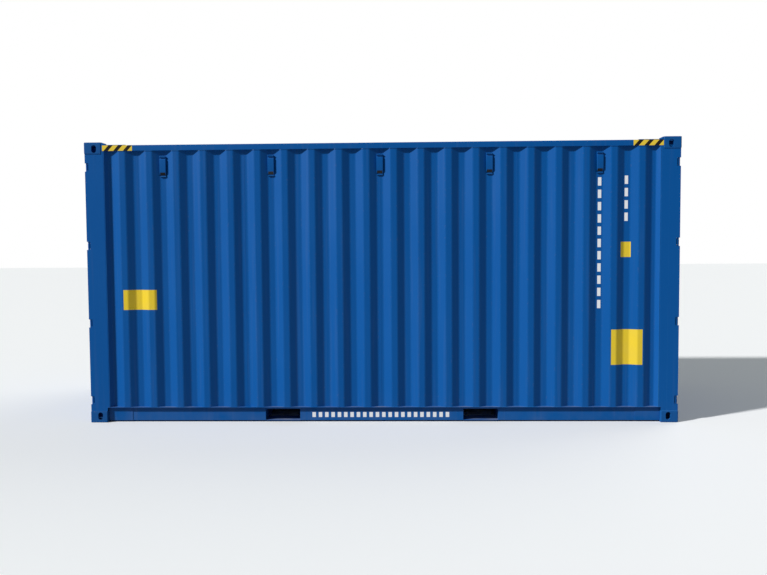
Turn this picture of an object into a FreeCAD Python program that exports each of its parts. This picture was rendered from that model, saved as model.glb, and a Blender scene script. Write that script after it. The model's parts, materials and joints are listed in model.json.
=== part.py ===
import FreeCAD, Part

import os
import re

import Sketcher
from FreeCAD import Vector

# A 20 ft high-cube freight container with double doors at both ends.
# The origin is on the ground at the middle of the base.  +X runs along the length, +Y runs
# across the width from the front side wall to the back one, and +Z is up.
# One corner of the box, the left front one, is drawn; the others are mirrored from it.

SIZES = {
    # the whole box
    "overall_length": 6058,
    "overall_width": 2438,
    "overall_height": 2896,
    "ground_clearance": 12.5,
    # corner castings
    "casting_length": 178,
    "casting_width": 162,
    "casting_height": 118,
    "casting_edge_radius": 10,
    "casting_outer_wall": 26,
    "casting_inner_wall": 12,
    "casting_base": 28,
    "lock_slot_length": 124,
    "lock_slot_width": 63.5,
    "lock_slot_from_end": 102.5,
    "lock_slot_from_side": 89.5,
    "face_slot_height": 79,
    "face_slot_level": 67.5,
    "side_slot_width": 51,
    "end_slot_width": 63.5,
    # corner posts: a thick outer section and a thinner inner one
    "post_setback": 5,
    "post_plate": 12,
    "post_return_gap": 4,
    "post_length": 202,
    "post_depth": 49,
    "post_channel_wall": 6,
    "notch_depth": 41,
    "notch_height": 84,
    # door hinges
    "lowest_hinge": 233,
    "top_hinge_drop": 254,
    "hinge_count": 4,
    "pin_from_end": 22,
    "pin_from_side": 25,
    "pin_radius": 7,
    "pin_clearance": 0.3,
    "pin_length": 94,
    "eye_radius": 13,
    "lug_thickness": 12,
    "lug_reach": 24,
    "lug_tip": 5,
    "lug_shoulder_gap": 1,
    "blade_height": 56,
    "lug_gap": 59,
    "blade_thickness": 8,
    "blade_length": 120,
    "blade_neck": 11,
    # door frame of the box
    "frame_face": 52,
    "seal_gap": 3,
    "seal_flange": 6,
    "header_wall": 4,
    "header_drop": 12,
    "opening_drop": 140,
    "roof_shelf_length": 240,
    "sill_wall": 4.5,
    "sill_bottom": 20,
    "sill_top": 148,
    # side rails
    "top_rail_size": 60,
    "top_rail_wall": 3,
    "top_rail_drop": 91,
    "top_rail_setback": 4,
    "bottom_rail_top": 161,
    "bottom_rail_wall": 4.5,
    "bottom_rail_setback": 2,
    "bottom_rail_upper_flange": 45,
    "bottom_rail_lower_flange": 30,
    # corrugated side walls
    "wall_sheet": 1.6,
    "wall_setback": 5.5,
    "fold_depth": 36,
    "outer_flat": 63,
    "inner_flat": 61,
    "fold_slope": 77,
    "end_slope": 37.5,
    # roof
    "roof_sheet": 2,
    "roof_edge": 40,
    "roof_end_margin": 6,
    "ridge_pitch": 209,
    "ridge_width": 125,
    "ridge_height": 18,
    "ridge_side_margin": 110,
    "ridge_taper": 42,
    "corner_plate_thickness": 4,
    "corner_plate_length": 250,
    "plate_edge_gap": 1,
    "plate_rise": 6,
    "ramp_top": 14,
    "ramp_length": 42,
    # floor and what carries it
    "board_thickness": 28,
    "floor_top": 171,
    "board_gap": 2,
    "boards_along": 5,
    "boards_across": 2,
    "joist_height": 122,
    "joist_top_flange": 45,
    "joist_bottom_flange": 40,
    "joist_wall": 4,
    "joists_per_bay": 5,
    # fork pockets
    "pocket_from_middle": 1025,
    "pocket_width": 360,
    "pocket_height": 115,
    "pocket_wall": 4.5,
    "pocket_strap": 6,
    "strap_reach": 250,
    # ventilators
    "vent_width": 64,
    "vent_height": 208,
    "vent_depth": 27,
    "vent_top_drop": 57,
    "vent_spacing_folds": 4,
    "vents_per_side": 5,
    "vent_lip": 12,
    "vent_standoff": 0.8,
    "vent_recess": 3,
    "vent_hood_bottom": 46,
    "vent_groove_bottom": 30,
    # door leaves
    "leaf_face": 53,
    "leaf_thickness": 50,
    "leaf_side_gap": 13,
    "leaf_top_gap": 13,
    "leaf_bottom_gap": 13,
    "leaf_middle_gap": 20,
    "stile_width": 100,
    "frame_wall": 3.2,
    "leaf_top_rail": 100,
    "leaf_bottom_rail": 150,
    "panel_sheet": 2,
    "panel_lap": 20,
    "panel_depth": 36,
    "panel_flat": 72,
    "panel_slope": 68,
    "gasket_clearance": 5,
    "gasket_middle_lip": 4,
    "gasket_front": 22,
    "gasket_lip": 2.5,
    "gasket_lip_width": 12,
    # locking bars
    "bar_radius": 16,
    "bar_from_end": 30,
    "first_bar": 333,
    "bar_spacing": 567,
    "bar_end_gap": 8,
    "cam_width": 50,
    "cam_height": 45,
    "cam_front": 14,
    "cam_back": 44,
    "keeper_clearance": 8,
    "keeper_plate": 10,
    "keeper_bridge": 6,
    "keeper_height": 55,
    "sill_keeper_bottom": 60,
    "header_keeper_drop": 46,
    "collar_radius": 20,
    "guide_height": 60,
    "guide_width": 100,
    "guide_base": 4,
    "lower_guide_fold": 1,
    "upper_guide_fold": 5,
    "hub_height": 50,
    "handle_length": 420,
    "handle_height": 36,
    "handle_thickness": 10,
    "handle_front": 24,
    "first_handle_fold": 3,
    "second_handle_fold": 2,
    "catch_width": 44,
    "catch_height": 60,
    "catch_gap": 2,
    # how far a cut runs past the material
    "cut_margin": 1,
}

# Derived places, as the text of an expression on the driving dimensions.
HALF_LENGTH = "overall_length / 2"
HALF_WIDTH = "overall_width / 2"
POST_FOOT = "casting_height"
POST_HEAD = "(overall_height - casting_height)"
HINGE_SPAN = "(overall_height - top_hinge_drop - lowest_hinge)"
RAIL_END = "(overall_length / 2 - casting_length)"
FOLD_PITCH = "(outer_flat + inner_flat + 2 * fold_slope)"
FOLDS_EACH_SIDE = f"floor((overall_length / 2 - post_length - end_slope) / {FOLD_PITCH})"
TOP_RAIL_LEVEL = "(overall_height - top_rail_drop)"
ROOF_TOP_RAIL = f"({TOP_RAIL_LEVEL} + top_rail_size)"
OPENING_TOP = "(overall_height - opening_drop)"
DOOR_HALF_WIDTH = "(overall_width / 2 - post_depth)"
BETWEEN_CASTINGS = "(overall_width / 2 - casting_width)"
SEAL_FACE = "(leaf_face + leaf_thickness + seal_gap)"
SILL_BACK = f"({SEAL_FACE} + seal_flange)"
POST_PLATE_END = f"({SEAL_FACE} + post_plate)"
POST_RETURN_TIP = "(post_depth - post_return_gap)"
JOIST_TOP = "(floor_top - board_thickness)"
POCKET_LEFT = "(-pocket_from_middle - pocket_width / 2)"
POCKET_RIGHT = "(-pocket_from_middle + pocket_width / 2)"
POCKET_CEILING = "(ground_clearance + pocket_strap + pocket_height)"
WEB_OUTER = "(bottom_rail_setback + bottom_rail_upper_flange - bottom_rail_wall)"
WEB_INNER = "(bottom_rail_setback + bottom_rail_upper_flange)"
FLOOR_EDGE = (f"max(post_depth; {WEB_INNER} + board_gap; "
              "wall_setback + fold_depth + wall_sheet + board_gap)")
LEAF_BACK = "(leaf_face + leaf_thickness)"
LEAF_HINGE_EDGE = "(post_setback + post_plate + leaf_side_gap)"
LEAF_FREE_EDGE = "(overall_width / 2 - leaf_middle_gap / 2)"
LEAF_BOTTOM = "(sill_top + leaf_bottom_gap)"
LEAF_TOP = "(overall_height - casting_height - leaf_top_gap)"
PANEL_BOTTOM = f"({LEAF_BOTTOM} + leaf_bottom_rail - panel_lap)"
PANEL_TOP = f"({LEAF_TOP} - leaf_top_rail + panel_lap)"
PANEL_PITCH = "(2 * panel_flat + 2 * panel_slope)"
PANEL_FOLDS = f"floor(({PANEL_TOP} - {PANEL_BOTTOM}) / {PANEL_PITCH})"
PANEL_MARGIN = f"(({PANEL_TOP} - {PANEL_BOTTOM} - {PANEL_FOLDS} * {PANEL_PITCH}) / 2)"
BAR_BOTTOM = "(sill_keeper_bottom + keeper_bridge + bar_end_gap)"
KEEPER_TOP = "(overall_height - header_keeper_drop)"
BAR_TOP = f"({KEEPER_TOP} - keeper_bridge - bar_end_gap)"

doc = FreeCAD.newDocument("container")
sheet = doc.addObject("Spreadsheet::Sheet", "Sizes")
for row, (alias, number) in enumerate(SIZES.items(), start=1):
    sheet.set(f"A{row}", alias.replace("_", " "))
    sheet.set(f"B{row}", str(number))
    sheet.setAlias(f"B{row}", alias)
doc.recompute()


def linked(text):
    """Turn the size names in an expression into references to the sheet's cells."""
    return re.sub(r"[a-z_]+", lambda word: f"Sizes.{word.group()}" if word.group() in SIZES
                  else word.group(), str(text))


def value_of(text):
    """The number that an expression on the sizes has now."""
    return float(sheet.evalExpression(linked(text)))


def bind(thing, prop, text):
    """Tie one property of an object to the sizes."""
    thing.setExpression(prop, linked(text))


def from_end(distance):
    """X of a place this far inboard of the left end face."""
    return f"(-{HALF_LENGTH} + {distance})"


def from_side(distance):
    """Y of a place this far inboard of the front side face."""
    return f"(-{HALF_WIDTH} + {distance})"


def origin_part(body, role):
    """One of the body's own origin planes or axes."""
    return next(item for item in body.Origin.OriginFeatures if item.Role == role)


def new_body(name):
    return doc.addObject("PartDesign::Body", name)


def new_sketch(body, plane, start):
    """A sketch on an origin plane, moved to the place start along the plane's world axis."""
    sketch = body.newObject("Sketcher::SketchObject", f"{body.Name}_sketch")
    sketch.AttachmentSupport = [(origin_part(body, plane), "")]
    sketch.MapMode = "FlatFace"
    offset = f"-({start})" if plane == "XZ_Plane" else start
    bind(sketch, "AttachmentOffset.Base.z", offset)
    return sketch


def fix_point(sketch, geometry, point, across, up):
    """Place one point of the sketch's geometry by two bound distances from its origin."""
    for kind, text in (("DistanceX", across), ("DistanceY", up)):
        number = sketch.addConstraint(Sketcher.Constraint(kind, geometry, point, value_of(text)))
        bind(sketch, f"Constraints[{number}]", text)


def draw_polygon(sketch, corners):
    """A closed outline through corners given as pairs of expressions."""
    places = [Vector(value_of(across), value_of(up), 0) for across, up in corners]
    following = places[1:] + places[:1]
    first = sketch.GeometryCount
    sketch.addGeometry([Part.LineSegment(a, b) for a, b in zip(places, following)], False)
    for index, (across, up) in enumerate(corners):
        fix_point(sketch, first + index, 1, across, up)
    for index in range(len(corners)):
        after = first + (index + 1) % len(corners)
        sketch.addConstraint(Sketcher.Constraint("Coincident", first + index, 2, after, 1))


def draw_circle(sketch, across, up, radius):
    centre = Vector(value_of(across), value_of(up), 0)
    number = sketch.addGeometry(Part.Circle(centre, Vector(0, 0, 1), value_of(radius)), False)
    fix_point(sketch, number, 3, across, up)
    size = sketch.addConstraint(Sketcher.Constraint("Radius", number, value_of(radius)))
    bind(sketch, f"Constraints[{size}]", radius)


def box_corners(left, right, low, high):
    return [(left, low), (right, low), (right, high), (left, high)]


def finish_feature(body, feature, sketch, length):
    feature.Profile = sketch
    bind(feature, "Length", length)
    body.Tip = feature
    doc.recompute()
    return feature


def pad(body, plane, start, length, *outlines, taper=None):
    """Material from the place start, length long, towards the plane's positive world axis."""
    sketch = new_sketch(body, plane, start)
    for corners in outlines:
        draw_polygon(sketch, corners)
    feature = body.newObject("PartDesign::Pad", f"{body.Name}_pad")
    feature.Reversed = plane == "XZ_Plane"
    if taper:
        bind(feature, "TaperAngle", f"-{taper}")
    return finish_feature(body, feature, sketch, length)


def pad_circle(body, start, length, across, up, radius):
    """A round upright boss."""
    sketch = new_sketch(body, "XY_Plane", start)
    draw_circle(sketch, across, up, radius)
    feature = body.newObject("PartDesign::Pad", f"{body.Name}_round_pad")
    return finish_feature(body, feature, sketch, length)


def cut_sketch(body, plane, sketch, length, taper=None):
    """Remove what lies over the sketch, towards the plane's positive world axis."""
    before = body.Shape.Volume
    feature = body.newObject("PartDesign::Pocket", f"{body.Name}_pocket")
    feature.Reversed = plane != "XZ_Plane"
    if taper:
        bind(feature, "TaperAngle", f"-{taper}")
    finish_feature(body, feature, sketch, length)
    if body.Shape.Volume > before - 1:
        raise RuntimeError(f"a pocket of {body.Label} cuts nothing")
    return feature


def cut(body, plane, start, length, corners, taper=None):
    sketch = new_sketch(body, plane, start)
    draw_polygon(sketch, corners)
    return cut_sketch(body, plane, sketch, length, taper)


def cut_circle(body, plane, start, length, across, up, radius):
    sketch = new_sketch(body, plane, start)
    draw_circle(sketch, across, up, radius)
    return cut_sketch(body, plane, sketch, length)


def cut_slot(body, plane, start, length, centre, slot_length, slot_width, upright):
    """A slot through a wall: its straight middle and its two round ends."""
    across, up = centre
    half_straight = f"(({slot_length} - {slot_width}) / 2)"
    radius = f"({slot_width} / 2)"
    if upright:
        ends = [(across, f"{up} - {half_straight}"), (across, f"{up} + {half_straight}")]
        middle = box_corners(f"{across} - {radius}", f"{across} + {radius}",
                             f"{up} - {half_straight}", f"{up} + {half_straight}")
    else:
        ends = [(f"{across} - {half_straight}", up), (f"{across} + {half_straight}", up)]
        middle = box_corners(f"{across} - {half_straight}", f"{across} + {half_straight}",
                             f"{up} - {radius}", f"{up} + {radius}")
    cut(body, plane, start, length, middle)
    for end_across, end_up in ends:
        cut_circle(body, plane, start, length, end_across, end_up, radius)


def repeat(body, features, axis, count, span, second=None):
    """Repeat features along an axis, evenly over a span, and along a second row if given."""
    pattern = body.newObject("PartDesign::LinearPattern", f"{body.Name}_row")
    pattern.Originals = features
    pattern.Direction = (origin_part(body, axis), [""])
    bind(pattern, "Length", span)
    bind(pattern, "Occurrences", count)
    if second:
        second_axis, second_count, second_span = second
        pattern.Direction2 = (origin_part(body, second_axis), [""])
        bind(pattern, "Length2", second_span)
        bind(pattern, "Occurrences2", second_count)
    body.Tip = pattern
    doc.recompute()
    return pattern


def mirrored(source, name, normal, height=None):
    """A mirror image about the box's middle, or about half the given height."""
    image = doc.addObject("Part::Mirroring", name)
    image.Source = source
    image.Normal = normal
    if height:
        bind(image, "Base.z", f"({height}) / 2")
    return image


ACROSS_LENGTH = Vector(1, 0, 0)
ACROSS_WIDTH = Vector(0, 1, 0)
UPRIGHT = Vector(0, 0, 1)

NODES = []


def node(thing, name):
    """Give a finished sub-part the name that its file takes."""
    thing.Label = name
    NODES.append(thing)


def node_of(name, pieces):
    """One sub-part made of like pieces that don't touch."""
    group = doc.addObject("Part::Compound", f"{name}_group")
    group.Links = pieces
    node(group, name)


def at_both_ends(piece):
    return [piece, mirrored(piece, f"{piece.Name}_right", ACROSS_LENGTH)]


def on_both_sides(piece):
    return [piece, mirrored(piece, f"{piece.Name}_back", ACROSS_WIDTH)]


def at_four_corners(piece):
    both = at_both_ends(piece)
    return both + [mirrored(each, f"{each.Name}_back", ACROSS_WIDTH) for each in both]


# ---------------------------------------------------------------- corners

def make_corner_castings():
    """Hollow steel corner blocks with a slot in the face, the side and the end."""
    body = new_body("corner_casting")
    block = box_corners(from_end("0"), from_end("casting_length"),
                        from_side("0"), from_side("casting_width"))
    solid = pad(body, "XY_Plane", "0", "casting_height", block)
    rounding = body.newObject("PartDesign::Fillet", "casting_rounding")
    upright = [f"Edge{number}" for number, edge in enumerate(body.Shape.Edges, start=1)
               if edge.BoundBox.ZLength > 1]
    rounding.Base = (solid, upright)
    bind(rounding, "Radius", "casting_edge_radius")
    body.Tip = rounding
    doc.recompute()
    hollow = box_corners(from_end("casting_outer_wall"),
                         from_end("casting_length - casting_inner_wall"),
                         from_side("casting_outer_wall"),
                         from_side("casting_width - casting_inner_wall"))
    cut(body, "XY_Plane", "casting_base", "casting_height - casting_base - casting_inner_wall + cut_margin",
        hollow)
    slot_x = from_end("lock_slot_from_end")
    slot_y = from_side("lock_slot_from_side")
    wall = "casting_outer_wall + cut_margin"
    cut_slot(body, "XY_Plane", "0", "casting_base + cut_margin", (slot_x, slot_y),
             "lock_slot_length", "lock_slot_width", False)
    cut_slot(body, "XZ_Plane", from_side("0"), wall, (slot_x, "face_slot_level"),
             "face_slot_height", "side_slot_width", True)
    cut_slot(body, "YZ_Plane", from_end("0"), wall, (slot_y, "face_slot_level"),
             "face_slot_height", "end_slot_width", True)
    lower = at_four_corners(body)
    upper = [mirrored(each, f"{each.Name}_upper", UPRIGHT, "overall_height") for each in lower]
    node_of("lower_corner_castings", lower)
    node_of("upper_corner_castings", upper)


def make_corner_posts():
    """The thick outer section: a side plate with a return, notched for the hinges."""
    body = new_body("corner_post")
    face = "post_setback"
    back = "post_setback + post_plate"
    section = [
        (from_end("post_setback"), from_side(face)),
        (from_end(POST_PLATE_END), from_side(face)),
        (from_end(POST_PLATE_END), from_side(POST_RETURN_TIP)),
        (from_end(SEAL_FACE), from_side(POST_RETURN_TIP)),
        (from_end(SEAL_FACE), from_side(back)),
        (from_end("post_setback"), from_side(back)),
    ]
    pad(body, "XY_Plane", POST_FOOT, f"{POST_HEAD} - {POST_FOOT}", section)
    notch = box_corners(from_end("0"), from_end("notch_depth"),
                        "lowest_hinge - notch_height / 2", "lowest_hinge + notch_height / 2")
    slot = cut(body, "XZ_Plane", from_side("0"), "post_setback + post_plate + cut_margin", notch)
    repeat(body, [slot], "Z_Axis", "hinge_count", HINGE_SPAN)
    node_of("corner_posts", at_four_corners(body))


def make_post_channels():
    """The thinner inner section, which closes the post and carries the side wall."""
    body = new_body("post_channel")
    wall = "post_channel_wall"
    start = from_end(POST_PLATE_END)
    end = from_end("post_length")
    outer = from_side("post_setback")
    inner = from_side("post_depth")
    section = [
        (start, outer), (end, outer), (end, inner), (start, inner),
        (start, from_side(f"post_depth - {wall}")),
        (from_end(f"post_length - {wall}"), from_side(f"post_depth - {wall}")),
        (from_end(f"post_length - {wall}"), from_side(f"post_setback + {wall}")),
        (start, from_side(f"post_setback + {wall}")),
    ]
    pad(body, "XY_Plane", POST_FOOT, f"{TOP_RAIL_LEVEL} - {POST_FOOT}", section)
    depth = "post_depth + 2 * cut_margin"
    over_casting = box_corners(from_end("0"), from_end("casting_length"), POST_HEAD,
                               f"{TOP_RAIL_LEVEL} + cut_margin")
    cut(body, "XZ_Plane", from_side("(-cut_margin)"), depth, over_casting)
    over_rail = box_corners(from_end("casting_length"), from_end("post_length + cut_margin"),
                            f"{POST_FOOT} - cut_margin", "bottom_rail_top")
    cut(body, "XZ_Plane", from_side("(-cut_margin)"), depth, over_rail)
    node_of("post_channels", at_four_corners(body))


def make_hinge_lugs():
    """Pairs of lugs behind each notch, which hold the hinge pin above and below the blade."""
    body = new_body("hinge_lug")
    pin_x = from_end("pin_from_end")
    pin_y = from_side("pin_from_side")
    low = "lowest_hinge - lug_gap / 2 - lug_thickness"
    plate_back = from_side("post_setback + post_plate")
    outer = from_side("pin_from_side - eye_radius")
    inner = from_side("pin_from_side + eye_radius")
    tip = from_end("pin_from_end + lug_reach")
    shoulder = from_end("notch_depth - lug_shoulder_gap")
    arm = [
        (pin_x, outer), (shoulder, outer), (shoulder, plate_back), (tip, plate_back),
        (tip, from_side("pin_from_side + lug_tip")), (shoulder, inner), (pin_x, inner),
    ]
    plate = pad(body, "XY_Plane", low, "lug_thickness", arm)
    eye = pad_circle(body, low, "lug_thickness", pin_x, pin_y, "eye_radius")
    bore = cut_circle(body, "XY_Plane", low, "lug_thickness", pin_x, pin_y,
                      "pin_radius + pin_clearance")
    repeat(body, [plate, eye, bore], "Z_Axis", "hinge_count", HINGE_SPAN,
           second=("Z_Axis", "2", "lug_gap + lug_thickness"))
    node_of("hinge_lugs", at_four_corners(body))


def make_hinge_pins():
    body = new_body("hinge_pin")
    pin = pad_circle(body, "lowest_hinge - pin_length / 2", "pin_length",
                     from_end("pin_from_end"), from_side("pin_from_side"), "pin_radius")
    repeat(body, [pin], "Z_Axis", "hinge_count", HINGE_SPAN)
    node_of("hinge_pins", at_four_corners(body))


# ---------------------------------------------------------------- end frames

def make_door_headers():
    """A box beam over the doorway, its sealing flange and the shelf that the roof laps on."""
    body = new_body("door_header")
    width = f"2 * {BETWEEN_CASTINGS}"
    left_y = f"-{BETWEEN_CASTINGS}"
    top = "overall_height - header_drop"
    outer = box_corners(from_end("frame_face"), from_end(SILL_BACK), POST_HEAD, top)
    inner = box_corners(from_end("frame_face + header_wall"), from_end(SEAL_FACE),
                        f"{POST_HEAD} + header_wall", f"{top} - header_wall")
    pad(body, "XZ_Plane", left_y, width, outer, inner)
    shelf = box_corners(from_end(SILL_BACK), from_end("roof_shelf_length"),
                        f"{ROOF_TOP_RAIL} - header_wall", ROOF_TOP_RAIL)
    pad(body, "XZ_Plane", left_y, width, shelf)
    flange = box_corners(from_end(SEAL_FACE), from_end(SILL_BACK), OPENING_TOP, POST_HEAD)
    pad(body, "XZ_Plane", f"-{DOOR_HALF_WIDTH}", f"2 * {DOOR_HALF_WIDTH}", flange)
    node_of("door_headers", at_both_ends(body))


def make_door_sills():
    """A box beam under the doorway, with a threshold that the doors seal against."""
    body = new_body("door_sill")
    wall = "sill_wall"

    def box_section(low, high):
        return (box_corners(from_end("frame_face"), from_end(SILL_BACK), low, high),
                box_corners(from_end(f"frame_face + {wall}"), from_end(f"{SILL_BACK} - {wall}"),
                            f"{low} + {wall}", f"{high} - {wall}"))

    pad(body, "XZ_Plane", f"-{BETWEEN_CASTINGS}", f"2 * {BETWEEN_CASTINGS}",
        *box_section("sill_bottom", POST_FOOT))
    full_start = f"-{DOOR_HALF_WIDTH}"
    full_width = f"2 * {DOOR_HALF_WIDTH}"
    pad(body, "XZ_Plane", full_start, full_width, *box_section(POST_FOOT, "sill_top"))
    threshold = box_corners(from_end(SEAL_FACE), from_end(SILL_BACK), "sill_top", "floor_top")
    pad(body, "XZ_Plane", full_start, full_width, threshold)
    node_of("door_sills", at_both_ends(body))


def make_cam_keepers():
    """U-shaped keepers on the header and the sill, open to the front, one for each cam."""
    half_gap = "(cam_width / 2 + keeper_clearance)"
    half_width = f"({half_gap} + keeper_plate)"
    front = from_end("cam_front")
    depth = "frame_face - cam_front"
    bar = from_side("first_bar")

    def keeper(name, low, open_low):
        body = new_body(name)
        high = f"{low} + keeper_height"
        block = box_corners(f"{bar} - {half_width}", f"{bar} + {half_width}", low, high)
        whole = pad(body, "YZ_Plane", front, depth, block)
        mouth_low = f"{low} - cut_margin" if open_low else f"{low} + keeper_bridge"
        mouth_high = f"{high} - keeper_bridge" if open_low else f"{high} + cut_margin"
        mouth = box_corners(f"{bar} - {half_gap}", f"{bar} + {half_gap}", mouth_low, mouth_high)
        gap = cut(body, "YZ_Plane", front, depth, mouth)
        repeat(body, [whole, gap], "Y_Axis", "2", "bar_spacing")
        return body

    lower = keeper("sill_keeper", "sill_keeper_bottom", False)
    upper = keeper("header_keeper", f"{KEEPER_TOP} - keeper_height", True)
    node_of("cam_keepers", at_four_corners(lower) + at_four_corners(upper))


# ---------------------------------------------------------------- rails and walls

def make_top_side_rails():
    body = new_body("top_side_rail")
    low_y = from_side("top_rail_setback")
    high_y = from_side("top_rail_setback + top_rail_size")
    wall = "top_rail_wall"
    outer = box_corners(low_y, high_y, TOP_RAIL_LEVEL, ROOF_TOP_RAIL)
    inner = box_corners(f"{low_y} + {wall}", f"{high_y} - {wall}",
                        f"{TOP_RAIL_LEVEL} + {wall}", f"{ROOF_TOP_RAIL} - {wall}")
    pad(body, "YZ_Plane", f"-{RAIL_END}", f"2 * {RAIL_END}", outer, inner)
    node_of("top_side_rails", on_both_sides(body))


def make_bottom_side_rails():
    """The rail's upper part: a flange turned outwards on the web that passes over the pockets."""
    body = new_body("bottom_side_rail")
    outer = from_side("bottom_rail_setback")
    web_outer = from_side(WEB_OUTER)
    web_inner = from_side(WEB_INNER)
    flange_low = "bottom_rail_top - bottom_rail_wall"
    section = [
        (outer, "bottom_rail_top"), (outer, flange_low), (web_outer, flange_low),
        (web_outer, POCKET_CEILING), (web_inner, POCKET_CEILING), (web_inner, "bottom_rail_top"),
    ]
    pad(body, "YZ_Plane", f"-{RAIL_END}", f"2 * {RAIL_END}", section)
    node_of("bottom_side_rails", on_both_sides(body))


def make_bottom_rail_webs():
    """The rail's lower part, in three lengths that stop at the fork pockets."""
    body = new_body("bottom_rail_web")
    wall = "bottom_rail_wall"
    web_outer = from_side(WEB_OUTER)
    web_inner = from_side(WEB_INNER)
    tip = from_side(f"{WEB_INNER} + bottom_rail_lower_flange")
    low = "ground_clearance"
    section = [
        (web_outer, POCKET_CEILING), (web_outer, low), (tip, low), (tip, f"{low} + {wall}"),
        (web_inner, f"{low} + {wall}"), (web_inner, POCKET_CEILING),
    ]
    pad(body, "YZ_Plane", f"-{RAIL_END}", f"2 * {RAIL_END}", section)
    opening = box_corners(POCKET_LEFT, POCKET_RIGHT, f"{low} - cut_margin",
                          f"{POCKET_CEILING} + cut_margin")
    through = cut(body, "XZ_Plane", f"{web_outer} - cut_margin", f"{wall} + 2 * cut_margin",
                  opening)
    flange_gap = box_corners(f"{POCKET_LEFT} - pocket_wall", f"{POCKET_RIGHT} + pocket_wall",
                             f"{low} - cut_margin", f"{low} + {wall} + cut_margin")
    relief = cut(body, "XZ_Plane", web_inner, "bottom_rail_lower_flange + cut_margin", flange_gap)
    repeat(body, [through, relief], "X_Axis", "2", "2 * pocket_from_middle")
    node_of("bottom_rail_webs", on_both_sides(body))


def make_side_walls():
    """Folded steel sheet, standing on the bottom rail and reaching the top rail."""
    body = new_body("side_wall_sheet")
    out_y = from_side("wall_setback")
    in_y = from_side("wall_setback + fold_depth")
    height = f"{TOP_RAIL_LEVEL} - bottom_rail_top"

    def sheet_outline(line):
        back = [(across, f"{up} + wall_sheet") for across, up in reversed(line)]
        return line + back

    start = f"(-{FOLDS_EACH_SIDE} * {FOLD_PITCH})"
    half_inner = "inner_flat / 2"
    fold = sheet_outline([
        (start, in_y),
        (f"{start} + {half_inner}", in_y),
        (f"{start} + {half_inner} + fold_slope", out_y),
        (f"{start} + {half_inner} + fold_slope + outer_flat", out_y),
        (f"{start} + {half_inner} + 2 * fold_slope + outer_flat", in_y),
        (f"{start} + {FOLD_PITCH}", in_y),
    ])
    unit = pad(body, "XY_Plane", "bottom_rail_top", height, fold)
    repeat(body, [unit], "X_Axis", f"2 * {FOLDS_EACH_SIDE}",
           f"(2 * {FOLDS_EACH_SIDE} - 1) * {FOLD_PITCH}")
    for sign in ("-1", "1"):
        end_piece = sheet_outline([
            (f"{sign} * (overall_length / 2 - post_length)", out_y),
            (f"{sign} * (overall_length / 2 - post_length - end_slope)", in_y),
            (f"{sign} * {FOLDS_EACH_SIDE} * {FOLD_PITCH}", in_y),
        ])
        pad(body, "XY_Plane", "bottom_rail_top", height, end_piece)
    front, back = on_both_sides(body)
    node(front, "front_side_wall")
    node(back, "back_side_wall")


def make_ventilators():
    """Small covered air vents in the inner flats near the top of both side walls."""
    body = new_body("ventilator")
    back = from_side("wall_setback + fold_depth - vent_standoff")
    front = f"{back} - vent_depth + vent_standoff"
    middle = f"{back} - vent_depth / 2"
    top = f"{TOP_RAIL_LEVEL} - vent_top_drop"
    low = f"{top} - vent_height"
    profile = [
        (back, low), (middle, low), (middle, f"{low} + vent_lip / 2"),
        (f"{back} - vent_recess", f"{low} + vent_lip"), (front, f"{low} + vent_hood_bottom"),
        (front, f"{top} - vent_groove_bottom"),
        (middle, f"{top} - 2 * vent_lip"), (middle, f"{top} - vent_lip"),
        (front, f"{top} - vent_lip"), (front, top), (back, top),
    ]
    spacing = f"vent_spacing_folds * {FOLD_PITCH}"
    start = f"-(vents_per_side - 1) / 2 * {spacing} - vent_width / 2"
    cover = pad(body, "YZ_Plane", start, "vent_width", profile)
    repeat(body, [cover], "X_Axis", "vents_per_side", f"(vents_per_side - 1) * {spacing}")
    node_of("ventilators", on_both_sides(body))


# ---------------------------------------------------------------- roof

def make_roof_panel():
    """Flat sheet with pressed cross ridges, lapped on the side rails and the header shelves."""
    body = new_body("roof")
    half_length = f"({RAIL_END} - roof_end_margin)"
    half_width = "(overall_width / 2 - top_rail_setback - roof_edge)"
    flat = box_corners(f"-{half_length}", half_length, f"-{half_width}", half_width)
    pad(body, "XY_Plane", ROOF_TOP_RAIL, "roof_sheet", flat)
    steps = f"floor(({half_length} - ridge_width) / ridge_pitch)"
    first = f"(-{steps} * ridge_pitch)"
    half_ridge = f"({half_width} - ridge_side_margin)"
    foot = box_corners(f"{first} - ridge_width / 2", f"{first} + ridge_width / 2",
                       f"-{half_ridge}", half_ridge)
    ridge = pad(body, "XY_Plane", f"{ROOF_TOP_RAIL} + roof_sheet", "ridge_height", foot,
                taper="ridge_taper")
    hollow = cut(body, "XY_Plane", ROOF_TOP_RAIL, "ridge_height", foot, taper="ridge_taper")
    repeat(body, [ridge, hollow], "X_Axis", f"2 * {steps} + 1", f"2 * {steps} * ridge_pitch")
    node(body, "roof_panel")


def make_roof_corner_plates():
    """Guard plates on the top rails, ramped up to the top castings."""
    body = new_body("roof_corner_plate")
    start = from_end("casting_length")
    thick = f"{ROOF_TOP_RAIL} + corner_plate_thickness"
    profile = [
        (start, ROOF_TOP_RAIL),
        (from_end("casting_length + corner_plate_length"), ROOF_TOP_RAIL),
        (from_end("casting_length + corner_plate_length"), thick),
        (from_end("casting_length + ramp_length"), thick),
        (from_end("casting_length + ramp_top"), "overall_height - header_drop + plate_rise"),
        (start, "overall_height - header_drop + plate_rise"),
    ]
    pad(body, "XZ_Plane", from_side("top_rail_setback"), "roof_edge - plate_edge_gap", profile)
    node_of("roof_corner_plates", at_four_corners(body))


# ---------------------------------------------------------------- floor and base

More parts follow.
